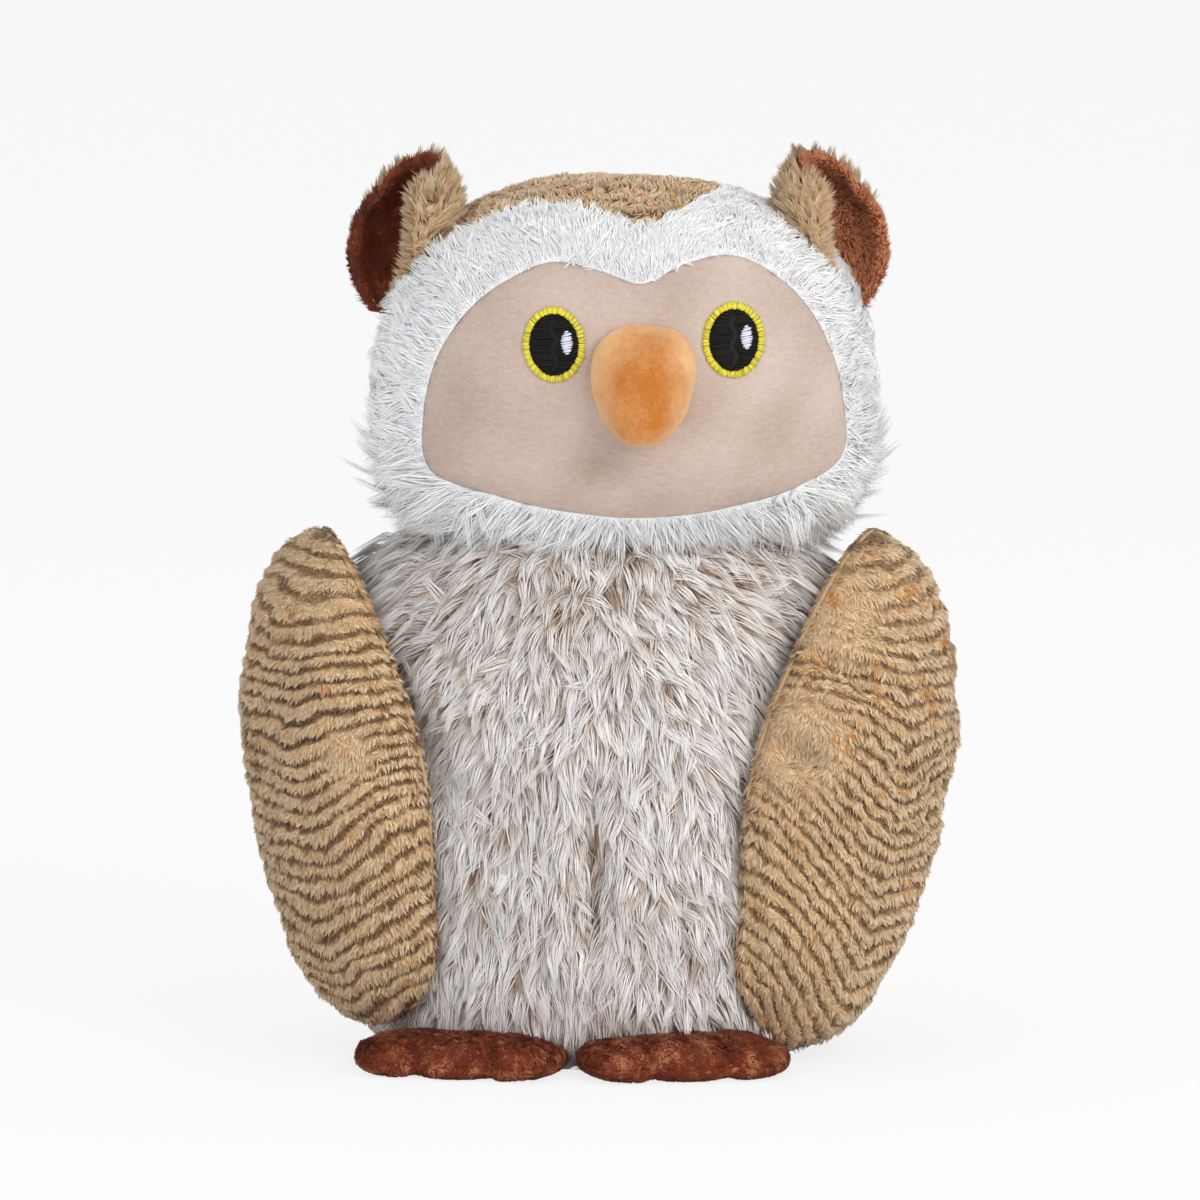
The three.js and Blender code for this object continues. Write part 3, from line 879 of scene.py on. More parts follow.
class Finish(Enum):
    """The finishes of the owl: one for each slot of the record, and the backings of its piles."""

    LONG_FUR = Hair(
        "long_fur",
        ((0.0, "#4a3122"), (0.35, "#86603f"), (0.7, "#b48c69"), (1.0, "#dcc8b5")),
        ((0.0, "#a8876a"), (0.35, "#e9ddd1"), (0.7, "#fdfbf9"), (1.0, "#ffffff")),
        0.5,
    )
    WHITE_FUR = Hair(
        "white_fur",
        ((0.0, "#e0e0e1"), (0.5, "#f4f5f6"), (1.0, "#fcfdfe")),
        ((0.0, "#f2f3f4"), (0.5, "#fdfeff"), (1.0, "#ffffff")),
        0.5, 0.3,
    )
    STRIPED = Hair(
        "striped_plush",
        (
            (0.0, "#46301d"), (0.3, "#7c5b3b"), (0.62, "#b8956c"),
            (0.76, "#ceb089"), (0.9, "#b67f45"), (1.0, "#a46b33"),
        ),
        (
            (0.0, "#85633f"), (0.3, "#b8946a"), (0.62, "#e8cba3"),
            (0.76, "#f4dfbf"), (0.9, "#e0a767"), (1.0, "#d1924f"),
        ),
        0.7,
    )
    BROWN_NAP = Hair(
        "brown_plush",
        ((0.0, "#3f1509"), (0.5, "#6e2c14"), (1.0, "#b0623c")),
        ((0.0, "#682a11"), (0.5, "#953f1b"), (1.0, "#dd9a70")),
        0.8, 0.05,
    )
    STRIPED_BACKING = Backing(
        "striped_backing", "striped_plush", ((0.0, "#4a3524"), (0.4, "#8a6b4b"), (1.0, "#c9a67c"))
    )
    FUR_BACKING = Backing("fur_backing", "long_fur", ((0.0, "#8e7767"), (1.0, "#d9d1ca")))
    WHITE_BACKING = Backing("white_backing", "white_fur", ((0.0, "#cfcfcf"), (1.0, "#f2f3f4")))
    BROWN_BACKING = Backing("brown_backing", "brown_plush", ((0.0, "#54220f"), (1.0, "#854125")))
    FACE = Velour("face_velour", "#a89284", "#dbc9bd", "#fff3ec", 0.35, 0.3, stretch=(1.0, 1.0, 2.2))
    BEAK = Velour("beak_velour", "#b96c1b", "#e6b582", "#ffe2b8", 0.6, 0.35)
    YELLOW = Thread("yellow_thread", ((0.0, "#a89a12"), (0.5, "#d9cb1c"), (1.0, "#f3ea4a")))
    BLACK = Thread("black_thread", ((0.0, "#050505"), (0.5, "#0e0d0c"), (1.0, "#1a1816")), 0.6, 0.0, 0.25)
    WHITE = Thread("white_thread", ((0.0, "#b9bfd4"), (0.5, "#d3d8ea"), (1.0, "#eef0fa")))
    FILLING = Wadding("filling", "#d8d4ca", "#f4f2ec", 6.0)
    COTTON = Wadding("cotton", "#b9ab92", "#d8cdb8", 2.0)


@dataclass
class Wardrobe:
    """Makes each material once and hangs finished pieces on their bodies."""

    made: dict[Finish, bpy.types.Material] = field(default_factory=dict)

    def material(self, finish: Finish) -> bpy.types.Material:
        """The material of a finish."""
        if finish not in self.made:
            self.made[finish] = finish.value.material()
        return self.made[finish]

    def hang(
        self, name: str, shape: Shape, finish: Finish, body: str = "root",
        stands_for: Sequence[str] = (),
    ) -> None:
        """Makes a piece of a shape and lets it ride on a body.

        Args:
            name: the piece's name.
            shape: its points and faces.
            finish: what it is made of.
            body: the body that carries it.
            stands_for: CAD nodes that it replaces.
        """
        piece = placed(name, shape.to_mesh(name))
        piece.data.materials.append(self.material(finish))
        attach(piece, body)
        finish.value.slot
        if stands_for:
            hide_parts(*stands_for)
        log.info("%s: %d faces on %s", name, len(piece.data.polygons), body)

    def cover(
        self, name: str, sheet: Sheet, tint: Array, finish: Finish, node: str,
        body: str = "root", fill: float = SEWN_FILL,
    ) -> None:
        """Hangs a sewn cover of cloth, shaded by a tint, in the place of a CAD node."""
        self.hang(name, cloth(sheet, FABRIC, tint), finish, body, [node])

    def stuff(
        self, name: str, shape: Shape, node: str, body: str = "root"
    ) -> None:
        """Hangs a filling in the place of a CAD node."""
        self.hang(name, shape, Finish.FILLING, body, [node])


# Filling


@dataclass(frozen=True)
class Plumping:
    """Swells a sewn cover over its filling with Blender's cloth simulation, held along its seams.

    Attributes:
        pressure: pressure of the filling.
        frames: steps of the simulation.
        slack: how far inside its place the cover starts.
        cap: how far a point may move.
        spacing: distance between simulated points.
    """

    pressure: float = 700.0
    frames: int = 20
    slack: float = 1.5
    cap: float = 4.0
    spacing: float = 5.0

    def swell(self, sheet: Sheet, away: Array) -> Sheet:
        """Moves a cover along its normals to where its filling pushes it.

        The simulation runs on rows and columns picked about one spacing apart, and its result is carried to
        all others in straight steps.

        Args:
            sheet: the cover.
            away: distance of each point from a seam, rows by columns.

        Returns:
            The swollen cover.
        """
        rows, columns = self.picked(sheet.points), self.picked(sheet.points.swapaxes(0, 1))
        free = step_between(0, 2 * self.spacing, away[np.ix_(rows, columns)])
        coarse = Sheet(sheet.points[np.ix_(rows, columns)], sheet.wraps, sheet.side)
        moved = self.simulated(coarse.raised(-self.slack * free), free < 0.02)
        lift = ((moved - coarse.points) * coarse.normals()).sum(-1)
        lift = np.clip(lift, -self.cap, self.cap) * free
        log.info("swollen by %.1f mm on average, %.1f mm at most", lift.mean(), lift.max())
        lift = self.spread(lift, columns, sheet.points.shape[1], sheet.wraps)
        return sheet.raised(self.spread(lift.T, rows, sheet.points.shape[0], False).T)

    def picked(self, points: Array) -> Indices:
        """Numbers of rows about one spacing apart, with the first and the last."""
        run = np.concatenate([[0], np.cumsum(np.linalg.norm(np.diff(points, axis=0), axis=2).max(1))])
        steps = max(4, round(run[-1] / self.spacing))
        return np.unique(np.searchsorted(run, np.linspace(0, run[-1], steps + 1)).clip(0, len(run) - 1))

    @staticmethod
    def spread(values: Array, columns: Indices, count: int, wraps: bool) -> Array:
        """Values of picked columns carried to all columns in straight steps.

        Args:
            values: a column for each picked one.
            columns: the picked columns' numbers.
            count: number of all columns.
            wraps: whether the last column meets the first.

        Returns:
            A value for every column.
        """
        if wraps:
            columns, values = np.append(columns, count), closed_round(values)
        place = np.interp(np.arange(count), columns, np.arange(len(columns)))
        low = np.minimum(place.astype(int), len(columns) - 2)
        share = place - low
        return values[:, low] * (1 - share) + values[:, low + 1] * share

    def simulated(self, sheet: Sheet, held: Array) -> Array:
        """Places of a sheet's points after the simulation.

        Args:
            sheet: where it starts.
            held: which points stay where they are.

        Returns:
            Rows by columns by 3.
        """
        flat = sheet.points.reshape(-1, 3)
        _, first, where = np.unique(flat.round(WELD_DIGITS), axis=0, return_index=True, return_inverse=True)
        shape = closed_form(sheet)
        used = np.unique(np.concatenate([faces.ravel() for faces in shape.faces]))
        mesh = shape.to_mesh("filling_push")
        piece = placed("filling_push", mesh)
        seams = piece.vertex_groups.new(name="seams")
        seams.add(np.flatnonzero(held.ravel()[used]).tolist(), 1.0, "REPLACE")
        push = piece.modifiers.new("filling_push", "CLOTH").settings
        push.use_pressure, push.uniform_pressure_force = True, self.pressure
        push.vertex_group_mass = seams.name
        push.effector_weights.gravity = 0.0
        scene = bpy.context.scene
        for step in range(1, self.frames + 1):
            scene.frame_set(step)
        found = np.empty(3 * len(used), np.float32)
        bpy.context.view_layer.update()
        solved = piece.evaluated_get(bpy.context.evaluated_depsgraph_get())
        solved.data.vertices.foreach_get("co", found)
        scene.frame_set(1)
        bpy.data.objects.remove(piece)
        bpy.data.meshes.remove(mesh)
        spots = np.searchsorted(used, first[where.ravel()])
        return found.reshape(-1, 3)[spots].reshape(sheet.points.shape) / MM


PLUMPING = Plumping()


# Hair


LENGTH_SPREAD = 0.15
LOCK_LENGTH_SHARES = (0.6, 1.35)
HAIR_LENGTH_SHARES = (0.75, 1.05)
WIDTH_SHARES = (0.75, 1.2)
PULL_SHARES = (0.7, 1.1)
MOST_PULL = 0.96
PULL_POWER = 1.2
SHADE_SPREAD = 0.07


@dataclass(frozen=True)
class Pelt:
    """How fur or pile grows.

    Attributes:
        count: number of hairs.
        length: their length.
        width: their width at the skin.
        lift: how steeply they leave the skin, from 0, flat, to 1, upright.
        fall: how far they bend over towards the way they are combed.
        drop: how much gravity adds to that.
        locks: number of locks that they gather in.
        gather: how closely a lock's tips meet.
        stray: how far locks stray from the comb.
        loose: how far single hairs stray from their lock.
        steps: points along a hair.
        variety: how far the shades of locks differ.
        softness: how far hairs are shaded like the skin below them.
        streaks: share of the locks that are brown.
        flat: thickness over width.
    """

    count: int
    length: float
    width: float
    lift: float
    fall: float
    drop: float
    locks: int
    gather: float
    stray: float
    loose: float
    steps: int = 2
    variety: float = 0.08
    softness: float = 0.75
    streaks: float = 0.0
    flat: float = 0.7

    def path(self, roots: Roots, comb: Array, length: Array) -> Array:
        """The paths of hairs.

        A hair starts between the comb's direction and the normal, and its direction turns evenly into the
        comb's direction with gravity added, so its path is a parabola.

        Args:
            roots: where they grow.
            comb: the direction each is combed in, square to the normal.
            length: the length of each.

        Returns:
            Hairs by steps by 3.
        """
        start = unit(roots.normal * self.lift + comb * (1 - self.lift))
        lying = comb * self.fall + roots.normal * (1 - self.fall) * 0.5
        end = unit(lying + np.array([0, 0, -self.drop]))
        s = np.linspace(0, 1, self.steps)[None, :, None]
        run = start[:, None] * (s - s * s / 2) + end[:, None] * s * s / 2
        return roots.place[:, None] + length[:, None, None] * run

    def grow(
        self, sheet: Sheet, seed: int, comb: Field, tint: Field, reach: Field | None = None,
        liking: Field | None = None,
    ) -> Shape:
        """Grows the hairs of a sheet.

        Args:
            sheet: the skin.
            seed: seed of every random draw.
            comb: the direction that hair is combed in at a place.
            tint: the shade of the hair at a place.
            reach: how long the hair is at a place, as a share of the length.
            liking: how densely it grows at a place, as a share.

        Returns:
            The shape of all hairs.
        """
        rng = np.random.default_rng(seed)
        count = int(self.count * QUICK_SHARE)
        roots = sheet.scatter(count, rng, liking)
        guides = sheet.scatter(self.locks, rng, liking)
        near = nearest(roots.place, guides.place)

        def lie(some: Roots, wish: Array, stray: float) -> Array:
            """A wished direction at roots, with its strays, laid square to the normals."""
            wish = unit(wish) + rng.normal(scale=stray, size=wish.shape)
            return unit(wish - (wish * some.normal).sum(-1, keepdims=True) * some.normal)

        comb_lead = lie(guides, comb(guides.place), self.stray)
        length = self.length * np.clip(rng.normal(1, LENGTH_SPREAD, self.locks), *LOCK_LENGTH_SHARES)
        length = length * (reach(guides.place) if reach else 1.0)
        lead = self.path(guides, comb_lead, length)
        lying = lie(roots, comb_lead[near], self.loose)
        own = self.path(roots, lying, length[near] * rng.uniform(*HAIR_LENGTH_SHARES, count))
        pull = np.minimum(MOST_PULL, self.gather * rng.uniform(*PULL_SHARES, count))[:, None, None]
        s = np.linspace(0, 1, self.steps)
        paths = own + (lead[near] - own) * pull * s[None, :, None] ** PULL_POWER
        paths[..., 2] = np.maximum(paths[..., 2], GROUND_GAP)
        shade = tint(roots.place) + rng.normal(0, SHADE_SPREAD, count)
        shade = shade + rng.normal(0, self.variety, self.locks)[near]
        radii = self.width / 2 * rng.uniform(*WIDTH_SHARES, (count, 1)) * (1 - s**2)
        shade -= STREAK_SHADE * (rng.random(self.locks) < self.streaks)[near]
        return tubes(paths, radii, roots.normal, 3, self.flat, shade, self.softness)


def nearest(places: Array, guides: Array) -> Indices:
    """The number of the guide nearest to each place, a few thousand places at a time."""
    found = []
    for part in np.array_split(places, max(1, len(places) // 2000)):
        gap = (part**2).sum(1)[:, None] + (guides**2).sum(1) - 2 * part @ guides.T
        found.append(gap.argmin(1))
    return np.concatenate(found)


# The frame's own places


def middle_of(node: str) -> Array:
    """The middle of a CAD node, in millimetres."""
    low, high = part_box(node)
    return (np.array(low) + np.array(high)) / 2 / MM


SACK_MIDDLE = middle_of("base_panel") * [1, 1, 0]
HEAD_MIDDLE = np.array([middle_of("head_stuffing")[0], SACK_MIDDLE[1], 0.0])


# Sub-assemblies


@dataclass
class Sack:
    """The body: a belly, a back and a base panel round one filling, with a pouch of grain at the bottom."""

    half_width: float = 86.0
    half_depth: float = 60.0
    height: float = 186.0
    squareness: float = 2.3
    base_seam: float = 0.09
    belly_seam: float = math.radians(78)
    filling_depth: float = 4.8
    side_shares: Pairs = (
        (0.78, 0), (0.9, 0.018), (0.965, 0.07), (0.99, 0.16), (1, 0.32), (1, 0.5), (0.98, 0.68), (0.92, 0.83),
        (0.83, 0.93), (0.68, 1),
    )
    creases: tuple[Crease, ...] = (
        Crease((-3, 48), (-2, 104), 5, 5), Crease((-3, 104), (14, 128), 7, 2.5),
        Crease((26, 30), (30, 60), 6, 2),
    )
    padding: Padding = Padding(((46, 2.4), (21, 1.0)), 20, 1.6, 2.5)
    pouch_half: tuple[float, float, float] = (50.0, 34.0, 11.0)
    pouch_up: float = 3.4
    belly_grid: tuple[int, int] = (92, 78)
    back_grid: tuple[int, int] = (84, 150)
    base_columns: int = 160
    under: Pelt = Pelt(38500, 9.0, 0.56, 0.5, 0.8, 0.3, 2600, 0.65, 0.35, 0.2, 2, 0.1, 0.88, 0.09)
    over: Pelt = Pelt(18000, 13.0, 0.53, 0.5, 0.85, 0.3, 1750, 0.8, 0.33, 0.15, 3, 0.1, 0.88, 0.06)
    tufts: Pelt = Pelt(4800, 23.0, 0.6, 0.9, 0.2, 0.6, 420, 0.7, 0.35, 0.25, 3, 0.1, 0.88, 0.1)
    pile: Pelt = Pelt(19000, 3.2, 1.3, 0.6, 0.7, 0.2, 2500, 0.4, 0.2, 0.2)

    def side_at(self, level: Array) -> tuple[Array, Array]:
        """Half-width share and height share of the side at a level from 0 to 1."""
        found = line_through(np.array(self.side_shares), np.clip(level, 0, 1), Ends.FLAT)
        return found[..., 0], found[..., 1]

    def points(self, angle: Array, level: Array, depth: float = 0.0) -> Array:
        """Points of the sack: superellipses whose half-axes follow the side.

        Args:
            angle: turn from the front, towards the viewer's right.
            level: -1 in the middle of the base, 0 at its edge, 1 at the neck's edge and 2 in its middle.
            depth: how far inside the cover.

        Returns:
            Levels by angles by 3.
        """
        # The ears' shades paint light: the right ear's lining is made lighter as if lit, the left one darker
        # as if in shade.
        angle, level = np.meshgrid(angle, level)
        wide, high = self.side_at(level)
        inward = np.where(level < 0, 1 + level, np.minimum(1, 2 - level))
        power = 2 / self.squareness
        across = inward * (wide * self.half_width - depth) * bend(np.sin(angle), power)
        along = -inward * (wide * self.half_depth - depth) * bend(np.cos(angle), power)
        return xyz(across, along, high * self.height + (1 - high) * depth) + SACK_MIDDLE

    def girth(self, height: Array) -> Array:
        """Share of the fullest girth at a height."""
        wide, high = self.side_at(np.linspace(0, 1, 400))
        return np.interp(height, high * self.height, wide)

    def panel(self, start: float, end: float, columns: int, rows: int) -> Sheet:
        """A side panel between two angles, swollen, with its seams drawn in."""
        levels = np.linspace(self.base_seam, 1, rows)
        sheet = Sheet(self.points(np.linspace(start, end, columns), levels), False)
        sheet = PLUMPING.swell(sheet, sheet.edge_distance(True, True, True))
        return sheet.raised(self.padding.lift(sheet.points, sheet.edge_distance(True, False, True), 11))

    def creased(self, sheet: Sheet) -> Sheet:
        """A sheet with the belly's creases drawn into its front."""
        local = sheet.points - SACK_MIDDLE
        sunk = sum(crease.sink(local) for crease in self.creases)
        return sheet.raised(-sunk * step_between(0, -30, local[..., 1]))

    def dress(self, wardrobe: Wardrobe) -> None:
        """Makes the panels, their fur and pile, the filling and the pouch.

        Args:
            wardrobe: where the pieces are hung.
        """
        seam = self.belly_seam
        belly = self.creased(self.panel(-seam, seam, *self.belly_grid))
        back = self.panel(seam, 2 * math.pi - seam, *self.back_grid)
        base_levels = np.concatenate([np.linspace(-1, 0, 12)[:-1], np.linspace(0, self.base_seam, 8)])
        base = Sheet(self.points(lap(self.base_columns), base_levels), True)
        levels = np.concatenate([[-1, -0.5], np.linspace(0, 1, 30), [1.5, 2]])
        inside = self.points(lap(self.base_columns // 2), levels, self.filling_depth)
        knots = 0.5 + 0.3 * waves(belly.points, 9, 3)
        wardrobe.cover("belly_cloth", belly, knots, Finish.FUR_BACKING, "belly_panel")
        lines = ribs(self.stripes(back.points))
        wardrobe.cover("back_cloth", back, lines, Finish.STRIPED_BACKING, "back_panel")
        knots = 0.7 + 0.1 * waves(base.points, 5, 4)
        wardrobe.cover("base_cloth", base, knots, Finish.STRIPED_BACKING, "base_panel", fill=0.8)
        wardrobe.stuff("body_filling", closed_form(self.creased(Sheet(inside, True))), "body_stuffing")
        wardrobe.hang("grain_pouch", closed_form(self.pouch()), Finish.COTTON, "root", ["weight_pouch"])
        for name, pelt, seed, dark in (
            ("belly_fur_under", self.under, 21, 0.1), ("belly_fur_over", self.over, 22, 0.0)
        ):
            tint = partial(self.belly_tint, dark=dark)
            fur = pelt.grow(belly, seed, self.belly_comb, tint, self.belly_reach, self.uncovered)
            wardrobe.hang(name, fur, Finish.LONG_FUR)
        tufts = self.tufts.grow(belly, 24, self.belly_comb, self.shoulder_tint, None, self.shoulder)
        wardrobe.hang("shoulder_fur", tufts, Finish.LONG_FUR)
        pile = self.pile.grow(back, 23, towards(0, 0, -1), self.back_tint, self.back_reach)
        wardrobe.hang("back_pile", pile, Finish.STRIPED)

    def pouch(self) -> Sheet:
        """The pouch of grain: a flat cushion of superellipses, knobbly with grains."""
        turn, rise = np.meshgrid(lap(80), np.linspace(-1, 1, 30) * math.pi / 2)
        wide, deep, high = self.pouch_half
        out = np.abs(np.cos(rise)) ** 0.6
        up = high * bend(np.sin(rise), 0.8) + high + self.pouch_up
        points = xyz(wide * out * np.cos(turn), deep * out * np.sin(turn), up) + SACK_MIDDLE
        grains = 0.3 * np.abs(waves(points, 4, 9))
        return Sheet.facing(points - grains[..., None] * [0, 0, 1], True, points.mean((0, 1)))

    @staticmethod
    def uncovered(places: Array) -> Array:
        """Thick where it shows and at the shoulders, and thin below the wings."""
        x, _, z = apart(places, SACK_MIDDLE)
        hidden = 0.8 * step_between(60, 70, np.abs(x)) * step_between(160, 145, z)
        return 1 - hidden + 0.8 * step_between(45, 60, np.abs(x)) * step_between(145, 165, z)

    @staticmethod
    def shoulder(places: Array) -> Array:
        """Only at the belly's upper corners."""
        x, _, z = apart(places, SACK_MIDDLE)
        return step_between(57, 68, np.abs(x)) * step_between(146, 160, z)

    @staticmethod
    def shoulder_tint(places: Array) -> Array:
        """White, with brown tufts."""
        return 0.95 - 0.45 * step_between(0.1, 1.2, waves(places, 9, 35))

    @staticmethod
    def belly_comb(places: Array) -> Array:
        """Down, and outwards from a parting left of the middle, almost level at the shoulders."""
        x, _, z = apart(places, SACK_MIDDLE)
        shoulder = step_between(40, 60, np.abs(x)) * step_between(140, 162, z)
        out = np.clip((x + 6) / 55, -1, 1) * (0.35 + 1.1 * step_between(90, 170, z) + 1.6 * shoulder)
        return xyz(out + 0.35 * waves(places, 32, 31), -0.2, 1.1 * shoulder - 1)

    @staticmethod
    def belly_tint(places: Array, dark: float) -> Array:
        """Mostly pale, with darker tufts, brown ones below the chin and painted shade in the crease down the
        middle.
        """
        x, _, z = apart(places, SACK_MIDDLE)
        tufts = 0.5 * step_between(0.5, 1.3, waves(places, 9, 32))
        chin = 0.4 * step_between(140, 172, z) * step_between(-0.4, 0.8, waves(places, 14, 34))
        # Painted shade: the fur darkens along the crease down the middle of the belly.
        crease = 0.65 * np.exp(-(((x + 1.5) / 4) ** 2)) * step_between(105, 88, z) * step_between(35, 52, z)
        return 0.94 - (dark + tufts + chin) - crease

    @staticmethod
    def belly_reach(places: Array) -> Array:
        """Longer at the shoulders, where it falls over the wings, and short at the lower corners."""
        x, _, z = apart(places, SACK_MIDDLE)
        shoulder = step_between(35, 62, np.abs(x)) * step_between(135, 165, z)
        corner = step_between(54, 66, np.abs(x)) * step_between(60, 30, z)
        return (0.85 + 0.15 * step_between(14, 45, z) + 0.75 * shoulder) * (1 - 0.65 * corner)

    @staticmethod
    def stripes(places: Array) -> Array:
        """Turns of the ribs, almost level all round."""
        return places[..., 2] / STRIPE_PITCH + 0.25 * waves(places, 60, 33)

    def back_tint(self, places: Array) -> Array:
        """Light ribs and dark lines."""
        return 0.08 + 0.72 * ribs(self.stripes(places))

    def back_reach(self, places: Array) -> Array:
        """Shorter in the dark lines and pressed short near the ground."""
        return (0.6 + 0.4 * ribs(self.stripes(places))) * (0.4 + 0.6 * step_between(14, 24, places[:, 2]))


@dataclass
class Head:
    """The head: a velour face, a fur ruff and a striped crown and back, over one filling."""

    half_width: float = 86.0
    top: float = 81.0
    bottom: float = 47.0
    front: float = 64.0
    back: float = 60.0
    level: float = 225.0
    neck: float = 186.6
    squareness: float = 2.5
    columns: int = 200
    face_rows: int = 46
    ruff_rows: int = 28
    fringe_rows: int = 5
    crown_rows: int = 84
    filling_grid: tuple[int, int] = (60, 30)
    eyes: Pairs = ((-23.5, 31.8), (39.0, 33.0))
    face_shares: Pairs = (
        (5, 0.91), (24, 0.88), (43, 0.855), (58, 0.83), (69, 0.75), (82, 0.65), (97, 0.7), (112, 0.76),
        (127, 0.755), (146, 0.765), (162, 0.79), (178, 0.81), (193, 0.81), (198, 0.75), (208, 0.65),
        (233, 0.62), (271, 0.65), (305, 0.657), (328, 0.69), (342, 0.8), (351, 0.91),
    )
    ruff_shares: Pairs = (
        (0, 1.01), (30, 1.01), (50, 1.03), (62, 1.01), (70, 0.985), (77, 0.915), (84.5, 0.86), (94, 0.905),
        (106, 0.955), (120, 0.97), (133, 0.965), (147, 0.985), (165, 0.985), (180, 0.985), (200, 0.99),
        (230, 1.01), (270, 1.02), (310, 1.02), (340, 1.01),
    )
    hollow_at: tuple[float, float] = (-8.0, 213.0)
    hollow_half: tuple[float, float] = (13.0, 8.0)
    hollow_depth: float = 2.4
    face_padding: Padding = Padding(((34, 1.2),), 18, 0.7, 1.5)
    ruff_padding: Padding = Padding(dip=0.7, groove=1.5)
    crown_padding: Padding = Padding(((40, 2.0),), 15)
    under: Pelt = Pelt(32500, 8.0, 0.58, 0.5, 0.75, 0.15, 2400, 0.5, 0.35, 0.3, softness=0.88)
    over: Pelt = Pelt(16000, 12.0, 0.46, 0.5, 0.85, 0.2, 1700, 0.65, 0.3, 0.2, 3, softness=0.88)
    fringe: Pelt = Pelt(7000, 4.6, 0.5, 0.75, 0.6, 0.1, 900, 0.5, 0.9, 0.3)
    pile: Pelt = Pelt(24500, 3.4, 1.08, 0.6, 0.7, 0.2, 2500, 0.4, 0.3, 0.2)

    def turn_at(self, reach: Array) -> Array:
        """The turn from the face's middle for a share of the outline, 1 on it and 2 behind."""
        near = np.arcsin(np.minimum(reach, 2 - reach) ** (self.squareness / 2))
        return np.where(reach > 1, math.pi - near, near)

    def edge(self, clock: Array, depth: float) -> Array:
        """How far the outline, a superellipse, is from the head's middle at a clock angle."""
        n, up = self.squareness, np.sin(clock)
        wide, tall = self.half_width - depth, np.where(up > 0, self.top, self.bottom) - depth
        return ((np.abs(np.cos(clock)) / wide) ** n + (np.abs(up) / tall) ** n) ** (-1 / n)

    def points(self, clock: Array, turn: Array, depth: float = 0.0) -> Array:
        """Points of the head: a superellipse seen from the front, carried back over another one.

        Args:
            clock: angle from the viewer's right and up over the crown.
            turn: angle from the middle of the face, pi at the middle of the back.
            depth: how far inside the cover, below zero for outside.

        Returns:
            Points, in the shape of the two angles.
        """
        power = 2 / self.squareness
        out = self.edge(clock, depth) * np.abs(np.sin(turn)) ** power
        deep = np.where(np.cos(turn) > 0, self.front, self.back) - depth
        local = xyz(out * np.cos(clock), -deep * bend(np.cos(turn), power), self.level + out * np.sin(clock))
        return local + HEAD_MIDDLE

    def face_points(self, right: Array, up: Array, lift: float) -> Array:
        """Points of the face, by how far right and up they are of the middle of the head."""
        clock = np.arctan2(up, right)
        return self.points(clock, self.turn_at(np.hypot(right, up) / self.edge(clock, -lift)), -lift)

    def band(self, start: Field, end: Field, rows: int) -> Sheet:
        """A cover between two edges, each given as a turn at every clock angle."""
        clock = lap(self.columns)
        share = np.linspace(0, 1, rows)[:, None]
        turn = start(clock) * (1 - share) + end(clock) * share
        return Sheet(self.points(np.broadcast_to(clock, turn.shape), turn), True, -1)

    def edge_turn(self, shares: Pairs) -> Field:
        """The turn at every clock angle of an edge that is given by shares of the outline."""
        return lambda clock: self.turn_at(round_share(np.array(shares), clock))

    def dress(self, wardrobe: Wardrobe) -> None:
        """Makes the three covers, the fur, the pile and the filling.

        Args:
            wardrobe: where the pieces are hung.
        """
        self.dress_face(wardrobe)
        face_edge, ruff_edge = self.edge_turn(self.face_shares), self.edge_turn(self.ruff_shares)
        ruff = self.band(face_edge, ruff_edge, self.ruff_rows)
        ruff = ruff.raised(self.ruff_padding.lift(ruff.points, ruff.edge_distance(first=True), 0))
        crown = self.band(ruff_edge, lambda clock: np.full_like(clock, math.pi), self.crown_rows)
        near = crown.edge_distance(first=True)
        crown = PLUMPING.swell(crown, near)
        crown = crown.raised(self.crown_padding.lift(crown.points, near, 42))
        knots = 0.9 + 0.1 * waves(ruff.points, 8, 43)
        wardrobe.cover("ruff_cloth", ruff, knots, Finish.WHITE_BACKING, "face_ruff")
        lines = ribs(self.stripes(crown.points))
        wardrobe.cover("crown_cloth", crown, lines, Finish.STRIPED_BACKING, "head_back_panel")
        columns, rows = self.filling_grid
        clock, turn = np.meshgrid(lap(columns), np.linspace(0, math.pi, rows))
        inside = Sheet(self.points(clock, turn, FILLING_DEPTH), True, -1)
        inside.points[..., 2] = np.maximum(inside.points[..., 2], self.neck)
        wardrobe.stuff("head_filling", closed_form(inside), "head_stuffing")
        for name, pelt, seed in (("ruff_fur_under", self.under, 44), ("ruff_fur_over", self.over, 45)):
            fur = pelt.grow(ruff, seed, self.ruff_comb, self.ruff_tint, self.ruff_reach)
            wardrobe.hang(name, fur, Finish.WHITE_FUR)
        edge = ruff.part(slice(self.fringe_rows))
        fringe = self.fringe.grow(edge, 50, self.ruff_comb, self.ruff_tint)
        wardrobe.hang("ruff_fringe", fringe, Finish.WHITE_FUR)
        pile = self.pile.grow(crown, 46, towards(0, 0.8, -0.5), self.crown_tint, self.crown_reach)
        wardrobe.hang("crown_pile", pile, Finish.STRIPED)

